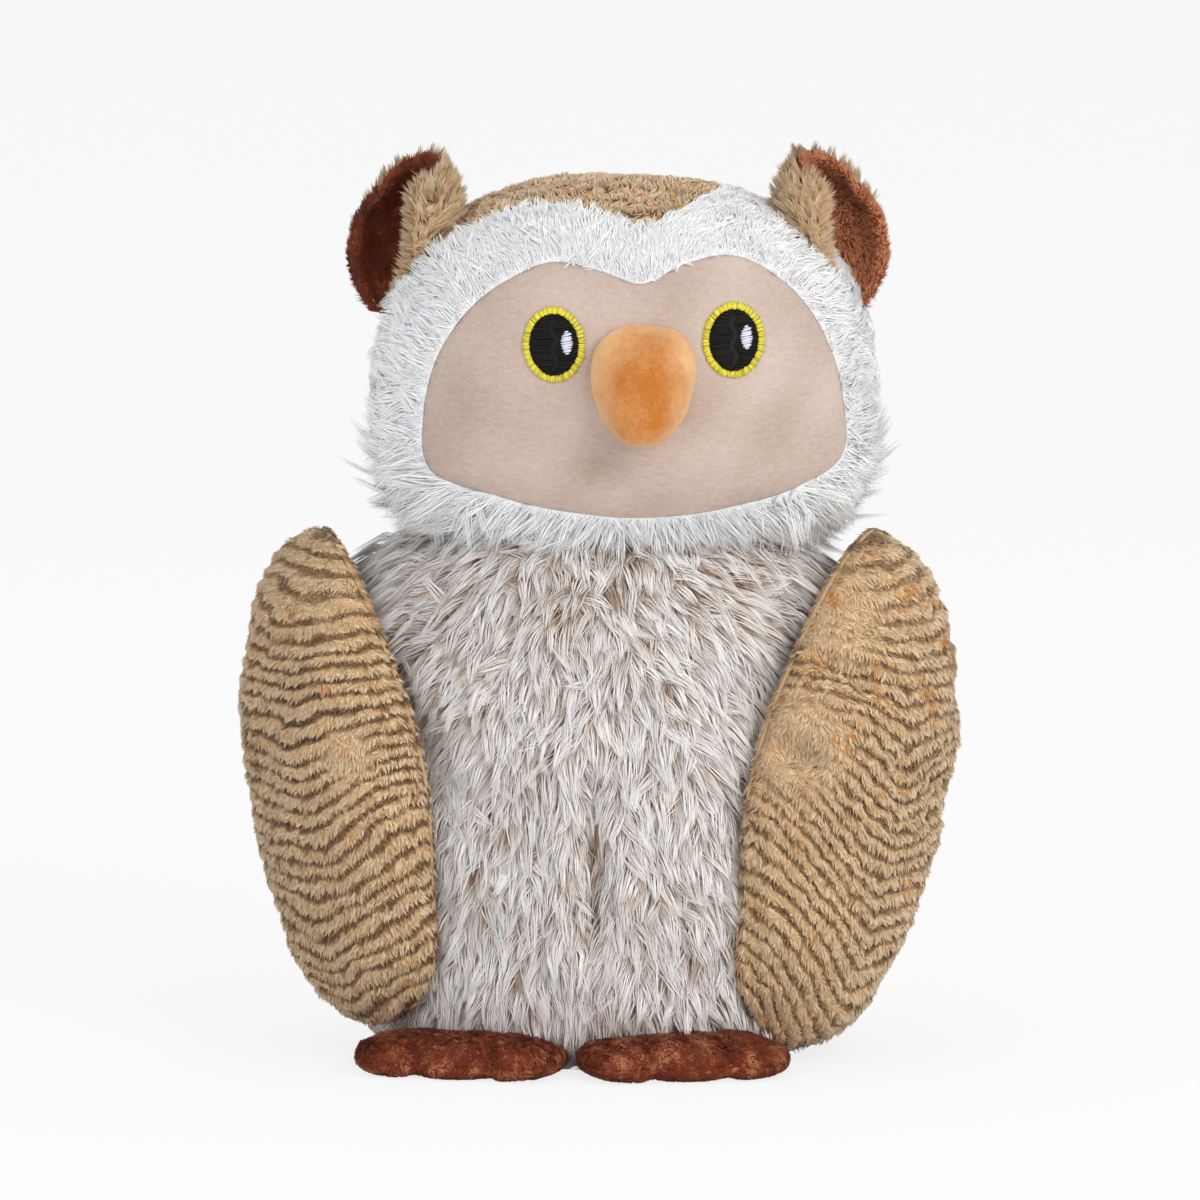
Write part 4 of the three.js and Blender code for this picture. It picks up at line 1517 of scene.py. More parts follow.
    def dress_face(self, wardrobe: Wardrobe) -> None:
        """Makes the face, soft but flat under the eyes, with a hollow beside the beak and a tint of brushed
        patches with painted light and shade: lighter towards the viewer's right, darker lower down and in the
        hollow.

        Args:
            wardrobe: where the pieces are hung.
        """
        face = self.band(np.zeros_like, self.edge_turn(self.face_shares), self.face_rows)
        x, _, z = apart(face.points, HEAD_MIDDLE)
        off_eyes = np.minimum(*[np.hypot(x - right, z - self.level - up) for right, up in self.eyes])
        (right, up), (wide, high) = self.hollow_at, self.hollow_half
        hollow = np.exp(-(((x - right) / wide) ** 2) - ((z - up) / high) ** 2)
        flat = step_between(15, 30, off_eyes)
        soft = self.face_padding.lift(face.points, face.edge_distance(last=True), 41, flat)
        face = face.raised(soft - self.hollow_depth * hollow)
        # The tint paints light and shade: lighter towards the viewer's right (side), darker low on the face
        # (low) and in the hollow beside the beak; only the waves are brushed nap.
        side = step_between(-70, 60, face.points[..., 0])
        low = step_between(230, 195, face.points[..., 2])
        brushed_and_painted_light = 0.38 + 0.12 * side - 0.12 * low - 0.2 * hollow + 0.1 * waves(face.points, 30, 39)
        wardrobe.cover("face_cloth", face, brushed_and_painted_light, Finish.FACE, "face_disc")

    def stripes(self, places: Array) -> Array:
        """Turns of the ribs, which run from side to side, by the arc over the crown and down the back.

        The arc's middle lies under the forehead, in front of the crown's side, and the ribs lie closer per
        turn towards the back, which is further from it.
        """
        _, y, z = apart(places, HEAD_MIDDLE + [0, 0, self.level])
        arc = np.arctan2(y + 50, z + 10)
        run = 73 * arc + 10 * arc**2
        return run / STRIPE_PITCH + 0.4 * waves(places, 38, 47) + 0.12 * waves(places, 11, 40)

    def ruff_comb(self, places: Array) -> Array:
        """Away from the middle of the face, and more downwards at the lower corners."""
        x, _, z = apart(places, HEAD_MIDDLE + [0, 0, self.level - 4])
        out, _, up = unit(xyz(x, 0.0, z)).T
        swirl = 0.3 * waves(places, 30, 48)
        corner = step_between(-4, -32, z) * step_between(30, 60, np.abs(x))
        return xyz(out - swirl * up, 0.35, up + swirl * out - 0.95 * corner)

    @staticmethod
    def ruff_tint(places: Array) -> Array:
        """White, a little greyer in places, and whitest below, where painted light lifts the lower part out
        of its shade.
        """
        # The last term is painted light: the lower ruff lightened against the shade it falls in.
        return 0.72 + 0.22 * waves(places, 15, 49) + 0.2 * step_between(200, 180, places[:, 2])

    def ruff_reach(self, places: Array) -> Array:
        """Short up to the crown, longer below, over the belly, and longest at the lower corners."""
        x, _, z = apart(places, HEAD_MIDDLE + [0, 0, self.level])
        crown = step_between(36, 62, z) * step_between(70, 45, np.abs(x))
        low = step_between(10, -40, z)
        return 0.85 + 0.45 * low + 0.6 * low * step_between(35, 65, np.abs(x)) - 0.4 * crown

    def crown_tint(self, places: Array) -> Array:
        """Light ribs and darker lines."""
        return 0.44 + 0.33 * ribs(self.stripes(places))

    def crown_reach(self, places: Array) -> Array:
        """Shorter in the dark lines."""
        return 0.65 + 0.35 * ribs(self.stripes(places))


@dataclass
class Eye:
    """One embroidered eye: a yellow ring of radial stitches, a black pupil and a white glint."""

    side: str
    right: float
    up: float
    head: Head
    half_width: float = 11.0
    half_height: float = 12.9
    band: float = 2.4
    overlap: float = 0.3
    tilt: float = math.radians(2)
    glint_half: tuple[float, float] = (1.8, 3.8)
    glint_at: tuple[float, float] = (4.6, 0.8)
    glint_slant: float = 0.2
    glint_lift: float = 0.55
    lift: float = 0.3
    pupil_lift: float = 0.1
    pad_rise: float = 0.45
    arch: float = 0.55
    uneven: float = 0.12
    ring_thread: float = 0.75
    pupil_thread: float = 0.62
    glint_thread: float = 0.7
    steps: int = 7
    layers: Pairs = ((0, 1), (0.4, 1), (0.75, 1), (0.94, 0.7), (1, 0), (0.6, 0), (0, 0))

    def on_face(self, x: Array, z: Array, lift: float) -> Array:
        """Points of the face from places in the eye's own oval."""
        right = self.right + x * math.cos(self.tilt) - z * math.sin(self.tilt)
        up = self.up + x * math.sin(self.tilt) + z * math.cos(self.tilt)
        return self.head.face_points(right, up, lift)

    def stitches(self, start: Array, end: Array, lift: float, seed: int, width: float) -> Shape:
        """Threads from start to end places of the oval, each low at both ends and raised between them.

        Args:
            start: places where the threads come up, by threads and 2.
            end: places where they go down.
            lift: how far off the face their ends are.
            seed: seed of their uneven ends and shades.
            width: their width.

        Returns:
            The shape of all threads.
        """
        rng = np.random.default_rng(seed)
        start, end = (line + rng.normal(0, self.uneven, line.shape) for line in (start, end))
        share = np.linspace(0, 1, self.steps)
        places = start[:, None] * (1 - share[:, None]) + end[:, None] * share[:, None]
        x, z = places[..., 0], places[..., 1]
        ground = self.on_face(x, z, lift)
        out = unit(self.on_face(x, z, lift + 1) - ground)
        paths = ground + out * (self.arch * np.sin(math.pi * share) ** 0.5)[:, None]
        radii = width / 2 * np.sin(math.pi * np.clip(share, 0.08, 0.97)) ** 0.35
        shades = rng.uniform(0.15, 0.95, len(start))
        return tubes(paths, np.tile(radii, (len(start), 1)), out[:, self.steps // 2], 4, 0.8, shades)

    def pad(self, half_width: float, half_height: float, lift: float, rise: float) -> Shape:
        """The ground under the pupil's stitches: an oval button between two lifts."""
        x, z = half_width * np.cos(lap(64)), half_height * np.sin(lap(64))
        rows = [self.on_face(share * x, share * z, lift + high * rise) for share, high in self.layers]
        form = closed_form(Sheet(np.array(rows), True, -1))
        form.place = np.tile([0.3, 0.5], (len(form.points), 1))
        return form

    def dress(self, wardrobe: Wardrobe) -> None:
        """Makes the ring, the pupil and the glint.

        Args:
            wardrobe: where the pieces are hung.
        """
        size = np.array([self.half_width, self.half_height])
        around = np.stack([np.cos(lap(120)), np.sin(lap(120))], -1)
        inner = around * (size - self.band - self.overlap)
        ring = self.stitches(around * size, inner, self.lift, 61, self.ring_thread)
        wide, high = size - self.band
        rows = np.linspace(-0.97, 0.97, 44)
        ends = wide * np.sqrt(1 - rows**2)
        across = (-ends, 0.8 * np.sin(9 * rows), ends)
        left, middle, right = (np.stack([x, rows * high], -1) for x in across)
        pupil = joined([
            self.pad(wide, high, self.lift - self.pupil_lift, self.pad_rise),
            self.stitches(left, middle, self.lift + self.pupil_lift, 62, self.pupil_thread),
            self.stitches(middle, right, self.lift + self.pupil_lift, 63, self.pupil_thread),
        ])
        rows = np.linspace(-0.95, 0.95, 13)
        span = self.glint_half[0] * np.sqrt(1 - rows**2) + self.overlap
        height = self.glint_at[1] + rows * self.glint_half[1]
        ends = np.stack([span, np.full_like(span, self.glint_slant)], -1)
        middle = np.stack([np.full_like(span, self.glint_at[0]), height], -1)
        lift = self.lift + self.glint_lift
        glint = self.stitches(middle - ends, middle + ends, lift, 64, self.glint_thread)
        for name, shape, finish, node in (
            ("iris", ring, Finish.YELLOW, "iris_ring"), ("pupil", pupil, Finish.BLACK, "pupil"),
            ("glint", glint, Finish.WHITE, "eye_glint"),
        ):
            wardrobe.hang(f"{self.side}_{name}_stitches", shape, finish, "root", [f"{self.side}_{node}"])


@dataclass
class Beak:
    """The beak: a stuffed velour drop that hooks down."""

    head: Head
    half_width: float = 17.5
    height: float = 38.5
    reach: float = 25.0
    root: float = 9.0
    droop: float = 5.0
    right: float = 7.5
    top_up: float = 38.5
    taper: float = 0.42
    padding: Padding = Padding(((12, 0.9),))
    grid: tuple[int, int] = (80, 56)
    filling_step: int = 4

    def sheet(self, angle: Array, along: Array, depth: float) -> Sheet:
        """The drop: its width swells and tapers to the tip, and its front hooks forward and down.

        Args:
            angle: angles round it, 0 at the front.
            along: shares of the way from the top to the tip.
            depth: how far inside the cover.

        Returns:
            The sheet.
        """
        angle, along = np.meshgrid(angle, along)
        middle = self.top_up - self.height / 2
        seat = self.head.face_points(np.array(self.right), np.array(middle), 0.0)
        swell = np.abs(np.sin(math.pi * along)) ** 0.75
        width = self.half_width * (1 + self.taper / 2 - self.taper * along) * swell - depth * swell
        hook = self.reach * (1 - self.taper + 2 * self.taper * along)
        reach = np.where(np.cos(angle) > 0, hook, self.root) - depth
        fall = (self.height - 2 * depth) * (1 - np.cos(math.pi * along)) / 2
        fall = fall + self.droop * np.maximum(0, np.cos(angle)) * swell
        right = HEAD_MIDDLE[0] + self.right + width * np.sin(angle)
        up = self.head.level + self.top_up - depth - fall
        points = xyz(right, seat[1] - reach * swell * np.cos(angle), up)
        return Sheet.facing(points, True, points.mean((0, 1)))

    def dress(self, wardrobe: Wardrobe) -> None:
        """Makes the cover and the filling, which stops a little before the tip.

        Args:
            wardrobe: where the pieces are hung.
        """
        columns, rows = self.grid
        angle, along = lap(columns), np.linspace(0, 1, rows)
        bare = self.sheet(angle, along, 0.0)
        points = bare.points
        cover = bare.raised(self.padding.lift(points, np.full(points.shape[:2], np.inf), 51))
        x, _, z = apart(points, points.mean((0, 1)))
        side = np.hypot(x, z * 0.7)
        # Darkest in the middle and paler towards the rim: a painted sheen of the velour's edges; the waves
        # add brushed patches.
        brushed_and_painted_light = 0.4 * step_between(7, 14, side) + 0.5 * step_between(13, 18, side)
        brushed_and_painted_light = 0.1 + brushed_and_painted_light + 0.1 * waves(points, 15, 52)
        wardrobe.cover("beak_cloth", cover, brushed_and_painted_light, Finish.BEAK, "beak_cover", fill=1.0)
        inner = self.sheet(angle[:: self.filling_step], along[:: self.filling_step], FILLING_DEPTH)
        wardrobe.stuff("beak_filling", closed_form(inner), "beak_stuffing")


@dataclass
class Ear:
    """One ear: a cupped leaf of striped plush, lined with brown plush."""

    side: str
    x: float
    foot: float
    lean: float
    facing: float
    outer: int
    shade: float
    seed: int
    height: float = 54.0
    radius: float = 15.0
    shell: float = 4.4
    liner: float = 1.6
    wrap: float = math.radians(112)
    slope: float = 0.22
    shift: float = 2.0
    tip_rise: float = 1.2
    edge_shade: float = 0.72
    shares: tuple[float, ...] = (0.16, 0.66, 0.95, 1, 0.92, 0.5)
    lining_shares: tuple[float, ...] = (0, 0.84, 0.88, 0.93, 1)
    lining_across: tuple[float, ...] = (-0.76, 1, 1.045, 1.045, 0.92)
    lining_off: tuple[float, ...] = (0.6, 0.6, 2, 4.6, 5.4)
    lining_top: float = 1.08
    grid: tuple[int, int] = (60, 50)
    lining_grid: tuple[int, int] = (70, 50)
    bare_columns: int = 9
    hidden_columns: int = 3
    pile: Pelt = Pelt(8500, 6.0, 0.75, 0.65, 0.5, 0.1, 900, 0.5, 0.4, 0.25, softness=0.3)
    fluff: Pelt = Pelt(1500, 5.5, 0.6, 0.8, 0.3, 0.0, 300, 0.4, 0.5, 0.3, softness=0.3)
    nap: Pelt = Pelt(8000, 2.0, 0.68, 0.7, 0.5, 0.2, 1200, 0.2, 0.3, 0.2)

    def points(self, across: Array, along: Array, out: Array | float) -> Array:
        """Points of the leaf, a sheet wrapped round an upright axis at a radius that swells and closes.

        Args:
            across: share from one edge (-1) to the other (1).
            along: share from foot to tip.
            out: how far outside the lining.

        Returns:
            Rows by columns by 3.
        """
        across, along = np.meshgrid(across, along)
        knots = np.stack([np.array(self.shares), np.linspace(0, 1, len(self.shares))], -1)
        radius_share, height_share = np.moveaxis(line_through(knots, along, Ends.STRAIGHT), -1, 0)
        angle = self.facing + math.pi + across * self.wrap
        radius = np.maximum(out, radius_share * self.radius + out)
        right = self.x + self.lean * height_share + radius * np.cos(angle)
        up = self.foot + height_share * self.height * (1 - self.slope * across**2)
        return xyz(right, radius * np.sin(angle), up) + [SACK_MIDDLE[0] + self.shift, HEAD_MIDDLE[1], 0]

    def lining(self, core: Array) -> Sheet:
        """The lining, which wraps over the outer edge and the tip of the shell and faces into the cup.

        Args:
            core: a point inside the cup.

        Returns:
            The sheet.
        """
        columns, rows = self.lining_grid
        share, level = np.linspace(0, 1, columns), np.linspace(0, self.lining_top, rows)
        across = np.interp(share, self.lining_shares, self.lining_across) * self.outer
        over = step_between(0.95, 1.06, level)[:, None]
        base = np.interp(share, self.lining_shares, self.lining_off)
        out = base + over * np.maximum(0, self.shell - 0.9 - base)
        near = self.points(across, np.minimum(level, 1), out)
        near[..., 2] += self.tip_rise * over * step_between(0, 3, self.shell - base)
        return Sheet.facing(near, False, core).flipped()

    def rim(self, core: Array, across: Array, along: Array) -> Sheet:
        """The bare edge of the shell: its inner side and the part of its tip past the lining."""
        column, inside = (-1, slice(None, None, -1)) if self.outer < 0 else (0, slice(None))
        grids = [self.points(across, along, out) for out in (self.shell, self.liner)]
        edges = [np.concatenate([grid[:, column], grid[-1, inside][: self.bare_columns]]) for grid in grids]
        return Sheet.facing(np.stack(edges), False, core)

    def dress(self, wardrobe: Wardrobe) -> None:
        """Makes the back and the lining, each with its pile.

        Args:
            wardrobe: where the pieces are hung.
        """
        name = f"{self.side}_ear"
        columns, rows = self.grid
        across, along = np.linspace(-1, 1, columns), np.linspace(0, 1, rows)
        core = self.points(np.array([0.0]), np.array([0.5]), -self.radius)[0, 0]
        back = Sheet.facing(self.points(across, along, self.shell), False, core)
        lining = self.lining(core)
        shell = cloth(back, self.shell - self.liner, ribs(back.points[..., 2] / STRIPE_PITCH))
        wardrobe.hang(f"{name}_cloth", shell, Finish.STRIPED_BACKING, "root", [f"{name}_back"])
        skin = cloth(lining, FABRIC, 0.6 + 0.2 * waves(lining.points, 6, 71))
        wardrobe.hang(f"{name}_lining_cloth", skin, Finish.BROWN_BACKING, "root", [f"{name}_lining"])
        kept = slice(-self.hidden_columns) if self.outer > 0 else slice(self.hidden_columns, None)
        up = towards(0, 0, 1)
        coat = self.pile.grow(back.part(columns=kept), self.seed, up, self.tint)
        rim = self.rim(core, across, along)
        edge = self.fluff.grow(rim, self.seed + 2, up, lambda places: np.full(len(places), self.edge_shade))
        wardrobe.hang(f"{name}_pile", joined([coat, edge]), Finish.STRIPED)
        nap = self.nap.grow(lining, self.seed + 1, up, self.nap_tint)
        wardrobe.hang(f"{name}_lining_nap", nap, Finish.BROWN_NAP)

    @staticmethod
    def tint(places: Array) -> Array:
        """Light ribs and slightly darker lines."""
        return 0.5 + 0.24 * ribs(places[:, 2] / STRIPE_PITCH + 0.2 * waves(places, 14, 73))

    def nap_tint(self, places: Array) -> Array:
        """Brown, brushed lighter and darker, and lighter or darker as a whole by the ear's shade, which is
        painted light.
        """
        return self.shade + 0.15 * waves(places, 12, 72)


@dataclass
class Wing:
    """One wing: a pillow that lies round the side of the sack."""

    side: str
    sign: int
    bottom: float
    foot_share: float
    front_edge: float
    rise: float
    gold: float
    dark: float
    seed: int
    sack: Sack
    plain: tuple[tuple[float, float, float], ...]
    creases: tuple[Crease, ...] = ()
    top: float = 182.0
    bulge: float = 36.0
    seam_off: float = 13.0
    lie: float = 1.4
    shoulder_share: float = 1.0
    full_up: float = 110.0
    full_down: float = 40.0
    top_share: float = 0.82
    squareness: float = 5.0
    back_edge: float = math.radians(116)
    sag_at: float = math.radians(58)
    filling_depth: float = 5.4
    rib_depth: float = 0.7
    outline_shares: Pairs = (
        (0.1, 1), (0.45, 0.84), (0.78, 0.5), (0.98, 0.1), (1.02, -0.35), (0.99, -0.75), (0.7, -0.96),
        (0.2, -1.01), (-0.45, -0.92), (-0.9, -0.5), (-1, 0.05), (-0.94, 0.6), (-0.68, 0.92), (-0.3, 1.02),
    )
    padding: Padding = Padding(((42, 3.0), (18, 1.0)), 16, 1.2, 2.0)
    pile: Pelt = Pelt(32500, 2.6, 1.0, 0.6, 0.6, 0.2, 3200, 0.35, 0.3, 0.2, variety=0.06)
    short: Pelt = Pelt(4000, 2.6, 1.5, 0.6, 0.7, 0.2, 800, 0.4, 0.2, 0.2)
    outer_grid: tuple[int, int] = (64, 230)
    inner_grid: tuple[int, int] = (30, 135)
    filling_grid: tuple[int, int] = (30, 74)

    def height(self, up: Array) -> Array:
        """Height of a place from -1 at the bottom to 1 at the top."""
        return (self.top + self.bottom) / 2 + up * (self.top - self.bottom) / 2

    def fullness(self, up: Array) -> Array:
        """Share of the wing's full thickness, less towards the ground and the shoulder."""
        height = self.height(up)
        low = self.foot_share + (1 - self.foot_share) * height / self.full_up
        high = self.top_share + (1 - self.top_share) * (self.top - height) / self.full_down
        return np.minimum(1, np.minimum(low, high))

    def points(self, across: Array, up: Array, off: Array) -> Array:
        """Points beside the sack, off it along its own outward direction.

        Args:
            across: -1 at the back edge and 1 at the front edge.
            up: -1 at the bottom and 1 at the top.
            off: how far off the sack.

        Returns:
            Points, in the shape of the arguments.
        """
        middle, half = (self.front_edge + self.back_edge) / 2, (self.back_edge - self.front_edge) / 2
        angle = self.sign * (middle - across * half)
        height = self.height(up)
        girth = self.sack.girth(height)
        share = np.where(height > self.sack.height / 2, np.maximum(girth, self.shoulder_share), girth)
        wide, deep = share * self.sack.half_width, share * self.sack.half_depth
        n = self.sack.squareness
        x, y = bend(np.sin(angle), 2 / n), -bend(np.cos(angle), 2 / n)
        outward = unit(xyz(bend(x, n - 1) / wide, bend(y, n - 1) / deep, 0.0))
        return xyz(wide * x, deep * y, height) + off[..., None] * outward + SACK_MIDDLE

    def layer(self, face: int, depth: float, rows: int, columns: int) -> Sheet:
        """One face of the pillow, from its middle to its seam.

        The reach from the middle is a sine of the row and the height off the seam is the root of 1 minus a
        power of that reach, so the pillow is full and rounds off fast at its edge.

        Args:
            face: 1 for the outer face and -1 for the inner one.
            depth: how far inside the cover.
            rows: rows from the middle to the seam.
            columns: columns round.

        Returns:
            The sheet.
        """
        size = (self.top - self.bottom) / 2
        turn, row = np.meshgrid(np.linspace(0, 1, columns, endpoint=False), np.linspace(0, 1, rows))
        reach = np.sin(row * math.pi / 2)
        puff = np.sqrt(1 - reach**self.squareness)
        edge = line_through(np.array(self.outline_shares), turn, Ends.CLOSED)
        edge = edge * (reach * (1 - depth / size))[..., None]
        full = self.fullness(edge[..., 1])
        bulge = (self.bulge - self.seam_off) * full if face > 0 else self.seam_off * full - self.lie
        off = self.seam_off * full + face * (bulge - depth) * puff
        sheet = Sheet.facing(self.points(edge[..., 0], edge[..., 1], off), True, SACK_MIDDLE + [0, 0, 100])
        return sheet if face > 0 else sheet.flipped()

    def stripes(self, places: Array) -> Array:
        """Turns of the ribs, which sag at the side, rise steeply towards the belly and a little behind.

        Args:
            places: places on the wing.

        Returns:
            Turns, whole ones on the ribs.
        """
        x, y, z = apart(places, SACK_MIDDLE)
        n = self.sack.squareness
        x, y = bend(self.sign * x / self.sack.half_width, n / 2), bend(-y / self.sack.half_depth, n / 2)
        turn = np.arctan2(x, y)
        front = np.clip((self.sag_at - turn) / math.radians(28), 0, 1.4) ** 1.5
        back = np.clip((turn - self.sag_at) / math.radians(32), 0, 1.5) ** 1.5
        lift = (self.rise * front + 4 * back) * (0.35 + 0.65 * step_between(165, 105, z))
        wobble = 0.3 * waves(places, 48, self.seed + 5) + 0.1 * waves(places, 10, self.seed + 7)
        return (z - lift) / STRIPE_PITCH + wobble

    def lightness(self, places: Array) -> Array:
        """Light ribs and dark lines, which fade out on plain patches and towards the shoulder.

        Args:
            places: places on the wing.

        Returns:
            0 in the lines and up to 1 on the ribs.
        """
        x, y, z = apart(places, SACK_MIDDLE)
        worn = step_between(0.5, 1.6, waves(places, 15, self.seed + 6))
        faded = 0.3 * step_between(132, 172, z) + 0.3 * worn
        for right, up, size in self.plain:
            gap = np.hypot(x - right, z - up) / size
            faded = np.maximum(faded, np.exp(-(gap**4)) * step_between(0, -15, y))
        return np.maximum(ribs(self.stripes(places)), faded)

    def tint(self, places: Array) -> Array:
        """The pile's shade: dark in the lines, light on the ribs and golden in patches, more so higher up.
        How dark the lines are is set for each wing as painted light.
        """
        high = step_between(90, 130, places[..., 2])
        patch = step_between(0.1, 1.2, waves(places, 19, self.seed + 8)) * self.gold * (0.3 + 0.7 * high)
        light = self.lightness(places)
        return self.dark + (0.71 - self.dark) * light + 0.2 * patch * light

    def reach(self, places: Array) -> Array:
        """Shorter in the dark lines."""
        return 0.55 + 0.45 * self.lightness(places)

    def creased(self, sheet: Sheet) -> Sheet:
        """A sheet with the wing's folds drawn into its front, less so near the seam."""
        local = sheet.points - SACK_MIDDLE
        sunk = sum((crease.sink(local) for crease in self.creases), np.zeros(local.shape[:2]))
        held = step_between(2, 14, sheet.edge_distance(last=True))
        return sheet.raised(-sunk * held * step_between(10, -20, local[..., 1]))

    @staticmethod
    def comb(places: Array) -> Array:
        """Downwards, a little swirled."""
        return xyz(0.4 * waves(places, 25, 81), 0.0, -1.0)

    def dress(self, wardrobe: Wardrobe) -> None:
        """Makes both halves of the cover, their pile and the filling.

        Args:
            wardrobe: where the pieces are hung.
        """
        body = f"{self.side}_wing"
        outer, inner = self.layer(1, 0.0, *self.outer_grid), self.layer(-1, 0.0, *self.inner_grid)
        near = outer.edge_distance(last=True)
        outer = PLUMPING.swell(outer, near)
        outer = self.creased(outer.raised(self.padding.lift(outer.points, near, self.seed)))
        lines = ribs(self.stripes(outer.points)) - 1
        outer = outer.raised(self.rib_depth * lines * step_between(0, 3, near))
        for half, sheet in (("outer", outer), ("inner", inner)):
            name, light = f"{body}_{half}", self.lightness(sheet.points)
            wardrobe.cover(f"{name}_cloth", sheet, light, Finish.STRIPED_BACKING, name, body)
        top = self.creased(self.layer(1, self.filling_depth, *self.filling_grid))
        low = self.layer(-1, FILLING_DEPTH, *self.filling_grid)
        wardrobe.stuff(f"{body}_filling", pillow(top, low), f"{body}_stuffing", body)
        pile = self.pile.grow(outer, self.seed + 2, self.comb, self.tint, self.reach)
        wardrobe.hang(f"{body}_outer_pile", pile, Finish.STRIPED, body)
        short = self.short.grow(inner, self.seed + 3, self.comb, self.tint)
        wardrobe.hang(f"{body}_inner_pile", short, Finish.STRIPED, body)


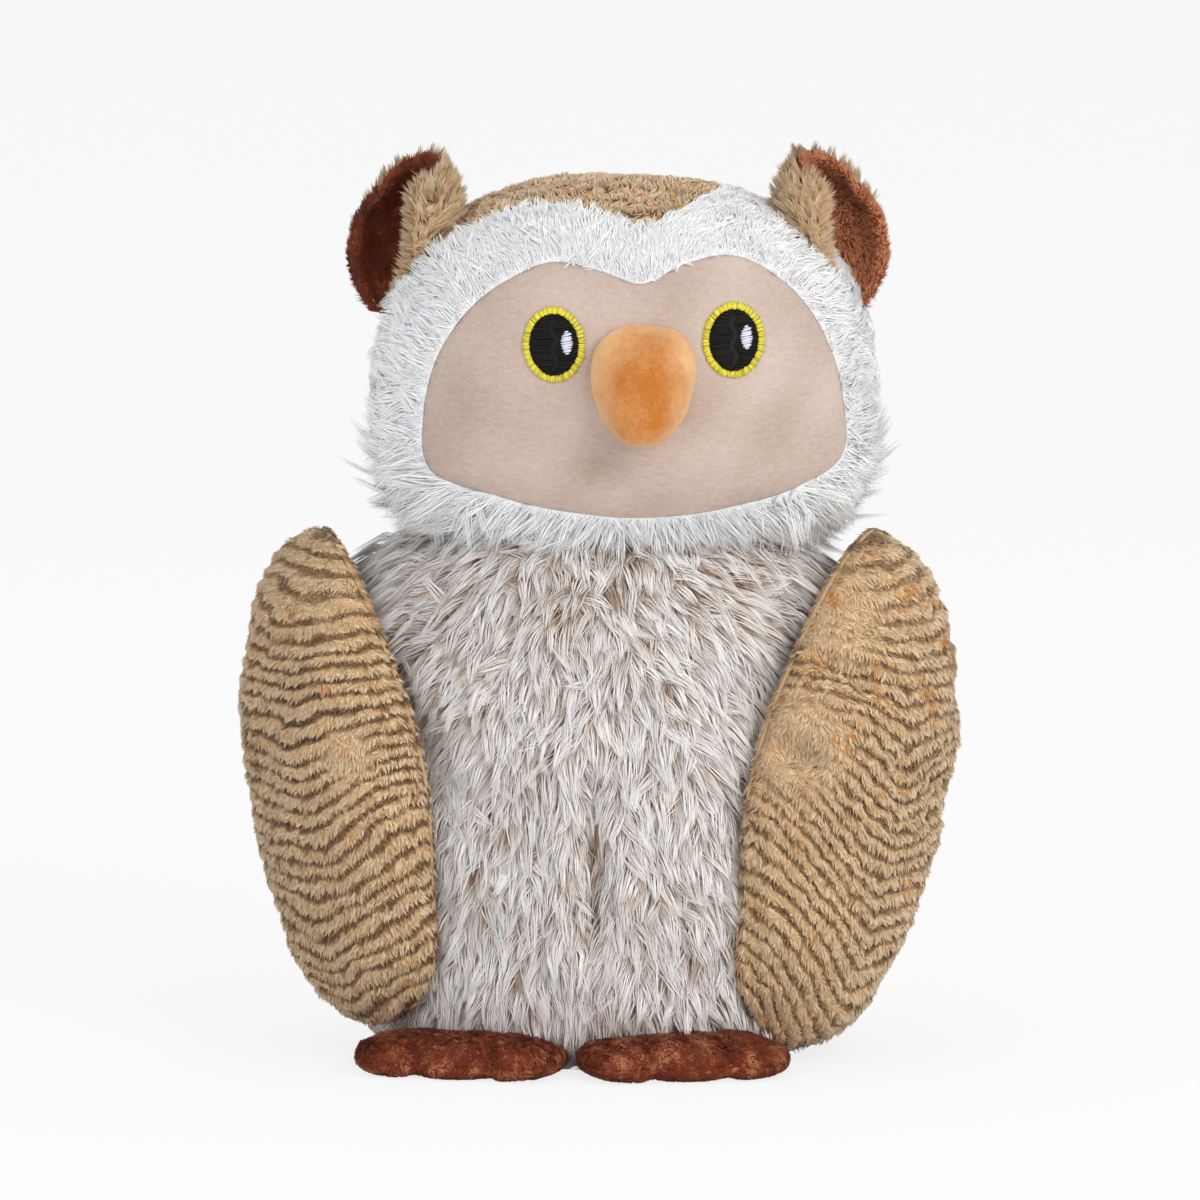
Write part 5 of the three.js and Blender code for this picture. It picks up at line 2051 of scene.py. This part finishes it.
@dataclass
class Foot:
    """One foot: a flat pillow with three toes, sewn along the lower edge of the belly."""

    side: str
    turn: float
    along: float
    seed: int
    sack: Sack
    half_width: float = 37.0
    length: float = 31.0
    height: float = 15.0
    seam_up: float = 5.0
    end_share: float = 0.9
    shoulder_share: float = 0.55
    notch_share: float = 0.86
    toe_share: float = 0.36
    toe_gap: float = 2.6
    toe_dip: float = 0.38
    squareness: float = 6.0
    padding: Padding = Padding(((16, 1.2),), 6, 0.6, 1.2)
    nap: Pelt = Pelt(11500, 1.8, 0.84, 0.6, 0.6, 0.1, 900, 0.3, 0.3, 0.2)
    rim: Pelt = Pelt(6000, 1.5, 1.0, 0.5, 0.7, 0.0, 600, 0.3, 0.3, 0.2)
    top_grid: tuple[int, int] = (36, 140)
    sole_grid: tuple[int, int] = (18, 100)
    filling_grid: tuple[int, int] = (10, 56)

    def outline(self, columns: int) -> Array:
        """The foot seen from above with its seam at the bottom: two round ends and three toes.

        Straight and curved stretches, each a cubic by its four control points, are walked at even steps.

        Args:
            columns: number of points round.

        Returns:
            Points by 2.
        """
        w, end, side = self.half_width, self.end_share * self.half_width, self.shoulder_share * self.length
        toe, dip = self.toe_share * w, self.notch_share * self.length
        bulge = 2 * self.length - dip

        def quadratic(*corners: tuple[float, float]) -> list[Array]:
            """A quadratic stretch of three control points as a cubic."""
            a, b, c = np.array(corners)
            return [a, a + (b - a) * 2 / 3, c + (b - c) * 2 / 3, c]

        stretches = np.array([
            quadratic((-end, 0), (0, 0), (end, 0)),
            quadratic((end, 0), (w, 0), (w, side / 2)),
            [(w, side / 2), (w, dip), (2 * toe, bulge), (toe, dip)],
            quadratic((toe, dip), (0, bulge), (-toe, dip)),
            [(-toe, dip), (-2 * toe, bulge), (-w, dip), (-w, side / 2)],
            quadratic((-w, side / 2), (-w, 0), (-end, 0)),
        ])
        t = np.linspace(0, 1, 60, endpoint=False)[:, None]
        weights = [(1 - t) ** 3, 3 * t * (1 - t) ** 2, 3 * t**2 * (1 - t), t**3]
        line = sum(weight * stretches[:, k][:, None] for k, weight in enumerate(weights)).reshape(-1, 2)
        line = np.concatenate([line, line[:1]])
        run = np.concatenate([[0], np.cumsum(np.linalg.norm(np.diff(line, axis=0), axis=1))])
        at = np.linspace(0, run[-1], columns, endpoint=False)
        return np.stack([np.interp(at, run, line[:, k]) for k in (0, 1)], -1)

    def seat(self) -> float:
        """How far from the sack's middle the foot is sewn on, square to its own direction."""
        n = self.sack.squareness / (self.sack.squareness - 1)
        girth = float(self.sack.girth(np.array(self.seam_up)))
        wide, deep = girth * self.sack.half_width, girth * self.sack.half_depth
        return (abs(math.sin(self.turn) * wide) ** n + abs(math.cos(self.turn) * deep) ** n) ** (1 / n)

    def layer(self, face: int, depth: float, rows: int, columns: int) -> Sheet:
        """The top (1) or the sole (-1), from its middle to its seam, with the grooves between the toes.

        Args:
            face: 1 or -1.
            depth: how far inside the cover.
            rows: rows from the middle to the seam.
            columns: columns round.

        Returns:
            The sheet.
        """
        bulge = self.height - self.seam_up if face > 0 else self.seam_up
        power = self.squareness / 2 if face > 0 else self.squareness
        middle = self.length / 2
        reach = np.sin(np.linspace(0, 1, rows) * math.pi / 2)[:, None]
        puff = np.sqrt(1 - reach**power)
        edge = self.outline(columns)
        shrink = reach * (1 - depth / middle)
        x, y = edge[:, 0] * shrink, -(middle + (edge[:, 1] - middle) * shrink)
        toe = self.toe_share * self.half_width
        gap = np.minimum(np.abs(x - toe), np.abs(x + toe)) / self.toe_gap
        pinch = 1 - self.toe_dip * np.exp(-(gap**2)) * step_between(0.35, 0.95, -y / self.length)
        z = face * (bulge - depth) * puff * pinch + self.seam_up
        x, y = x + self.along, y - self.seat()
        cos, sin = math.cos(self.turn), math.sin(self.turn)
        points = xyz(x * cos - y * sin, x * sin + y * cos, z) + SACK_MIDDLE
        return Sheet.facing(points, True, points.mean((0, 1)) - [0, 0, face * 20])

    def dress(self, wardrobe: Wardrobe) -> None:
        """Makes the top, the sole, their nap and the filling.

        Args:
            wardrobe: where the pieces are hung.
        """
        body = f"{self.side}_foot"
        top, sole = self.layer(1, 0.0, *self.top_grid), self.layer(-1, 0.0, *self.sole_grid)
        near = top.edge_distance(last=True)
        top = PLUMPING.swell(top, near)
        top = top.raised(self.padding.lift(top.points, near, self.seed))
        for kind, (half, sheet, spread) in enumerate((("top", top, 0.25), ("sole", sole, 0.08))):
            name, tint = f"{body}_{half}", 0.5 + spread * waves(sheet.points, 8, self.seed + 1 + kind)
            wardrobe.cover(f"{name}_cloth", sheet, tint, Finish.BROWN_BACKING, name, body)
        upper, lower = (self.layer(face, FILLING_DEPTH, *self.filling_grid) for face in (1, -1))
        wardrobe.stuff(f"{body}_filling", pillow(upper, lower), f"{body}_stuffing", body)
        nap = self.nap.grow(top, self.seed + 3, self.comb, self.tint)
        wardrobe.hang(f"{body}_top_nap", nap, Finish.BROWN_NAP, body)
        rim = self.rim.grow(sole, self.seed + 4, self.comb, self.tint, None, self.rim_first)
        wardrobe.hang(f"{body}_sole_nap", rim, Finish.BROWN_NAP, body)

    @staticmethod
    def comb(places: Array) -> Array:
        """Forwards and sideways in soft swirls."""
        return xyz(0.8 * waves(places, 22, 91), -1.0, -0.2)

    @staticmethod
    def tint(places: Array) -> Array:
        """Brown, brushed lighter and darker."""
        return 0.5 + 0.2 * waves(places, 14, 92) + 0.1 * waves(places, 5, 93)

    @staticmethod
    def rim_first(places: Array) -> Array:
        """Thickest where the sole curves up to its seam."""
        return 0.5 + 0.5 * step_between(1.2, 2.4, places[..., 2])


@dataclass
class Studio:
    """A pale floor, soft lamps and the camera at the photograph's angle. Lengths are metres."""

    distance: float = 10.0
    elevation: float = math.radians(9)
    target: tuple[float, float, float] = (0.0006, 0.0145, 0.1575)
    view_height: float = 0.42
    sensor: float = 36.0
    reach: float = 30.0
    daylight: float = 0.74
    glow: float = 0.8
    lamps: tuple[tuple[str, tuple[float, float, float], float, float, str], ...] = (
        ("key", (1.1, -1.5, 0.95), 1.2, 17.4, "#fffdfa"),
        ("fill", (-1.3, -1.2, 0.65), 1.5, 7.2, "#f0f6ff"),
        ("top", (0.1, 0.3, 1.9), 1.6, 3.6, "#ffffff"),
    )

    def lamp(
        self, name: str, place: tuple[float, float, float], size: float, power: float, code: str
    ) -> None:
        """A square area lamp of a colour that faces the owl.

        Args:
            name: its name.
            place: where it hangs.
            size: length of its side.
            power: its power.
            code: its colour.
        """
        data = bpy.data.lights.new(name, "AREA")
        data.size = size
        data.energy = power
        data.color = linear(code)[:3]
        lamp = placed(name, data)
        lamp.location = place
        lamp.rotation_euler = (Vector(self.target) - Vector(place)).to_track_quat("-Z", "Y").to_euler()

    def floor(self) -> None:
        """A wide white floor that keeps a soft shadow, and glows where the camera or a mirror sees it."""
        mesh = bpy.data.meshes.new("floor")
        corners = [(x * self.reach, y * self.reach, 0) for x, y in ((-1, -1), (1, -1), (1, 1), (-1, 1))]
        mesh.from_pydata(corners, [], [(0, 1, 2, 3)])
        piece = placed("floor", mesh)
        dye = Dye("floor")
        dye.finished(linear("#f2f2f2"), Roughness=1.0)
        path = dye.node("ShaderNodeLightPath", {})
        camera, mirror, glass = (
            Wire(dye, path.outputs[f"Is {kind} Ray"]) for kind in ("Camera", "Glossy", "Transmission")
        )
        seen = self.glow * (camera + mirror + glass).held()
        white = dye.node("ShaderNodeEmission", {"Color": (1, 1, 1, 1), "Strength": 1.0})
        both = dye.node("ShaderNodeMixShader", {0: seen, 1: dye.shader.outputs[0], 2: white.outputs[0]})
        dye.feed(dye.standing("OUTPUT_MATERIAL").inputs[0], both.outputs[0])
        mesh.materials.append(dye.material)

    def world(self) -> None:
        """Even soft light from all round, behind which the camera sees white."""
        world = bpy.data.worlds.new("studio")
        bpy.context.scene.world = world
        world.use_nodes = True
        bench = Bench(world.node_tree)
        seen = bench.node("ShaderNodeLightPath", {}).outputs["Is Camera Ray"]
        level = bench.node("ShaderNodeMapRange", {"Value": seen, "To Min": self.daylight, "To Max": 1.0})
        background = bench.standing("BACKGROUND")
        bench.feed(background.inputs["Color"], (1, 1, 1, 1))
        bench.feed(background.inputs["Strength"], level.outputs[0])

    def camera(self) -> None:
        """The camera, looking down a little at the owl."""
        data = bpy.data.cameras.new("camera")
        data.sensor_width = self.sensor
        data.lens = self.sensor * self.distance / self.view_height
        data.clip_end = 100.0
        camera = placed("camera", data)
        back = Vector((0, -math.cos(self.elevation), math.sin(self.elevation)))
        camera.location = Vector(self.target) + back * self.distance
        camera.rotation_euler = (-back).to_track_quat("-Z", "Y").to_euler()
        bpy.context.scene.camera = camera

    def set_up(self) -> None:
        """Builds the whole studio."""
        bpy.context.scene.view_settings.view_transform = "Standard"
        self.floor()
        self.world()
        for lamp in self.lamps:
            self.lamp(*lamp)
        self.camera()


def main() -> None:
    """Builds the studio and the owl, one sub-assembly after another."""
    logging.basicConfig(level=logging.INFO, format="%(message)s")
    Studio().set_up()
    wardrobe = Wardrobe()
    sack, head = Sack(), Head()
    parts = [
        sack,
        head,
        Eye("left", *head.eyes[0], head),
        Eye("right", *head.eyes[1], head),
        Beak(head),
        Ear("left", x=-75.0, foot=259.0, lean=6.0, facing=math.radians(216), outer=1, shade=0.3, seed=101),
        Ear("right", x=84.0, foot=260.0, lean=-5.0, facing=math.radians(-38), outer=-1, shade=1.0, seed=111),
        # The wings' dark values paint light: the right wing's lines are lighter as if lit, the left wing's
        # darker as if in shade.
        Wing(
            "left", -1, bottom=14.0, foot_share=0.36, front_edge=math.radians(36), rise=24.0, gold=0.4,
            dark=0.06, seed=121, sack=sack, plain=((-87, 113, 9),),
        ),
        Wing(
            "right", 1, bottom=6.0, foot_share=0.26, front_edge=math.radians(30), rise=40.0, gold=1.0,
            dark=0.17, seed=141, sack=sack, plain=((70, 117, 19), (84, 160, 16)),
            creases=(Crease((51, 120), (74, 113), 5, 5), Crease((58, 157), (90, 140), 5, 4.5)),
        ),
        Foot("left", turn=math.radians(-13), along=-33.5, seed=161, sack=sack),
        Foot("right", turn=math.radians(9), along=19.5, seed=171, sack=sack),
    ]
    for part in parts:
        part.dress(wardrobe)


if __name__ == "__main__":
    main()
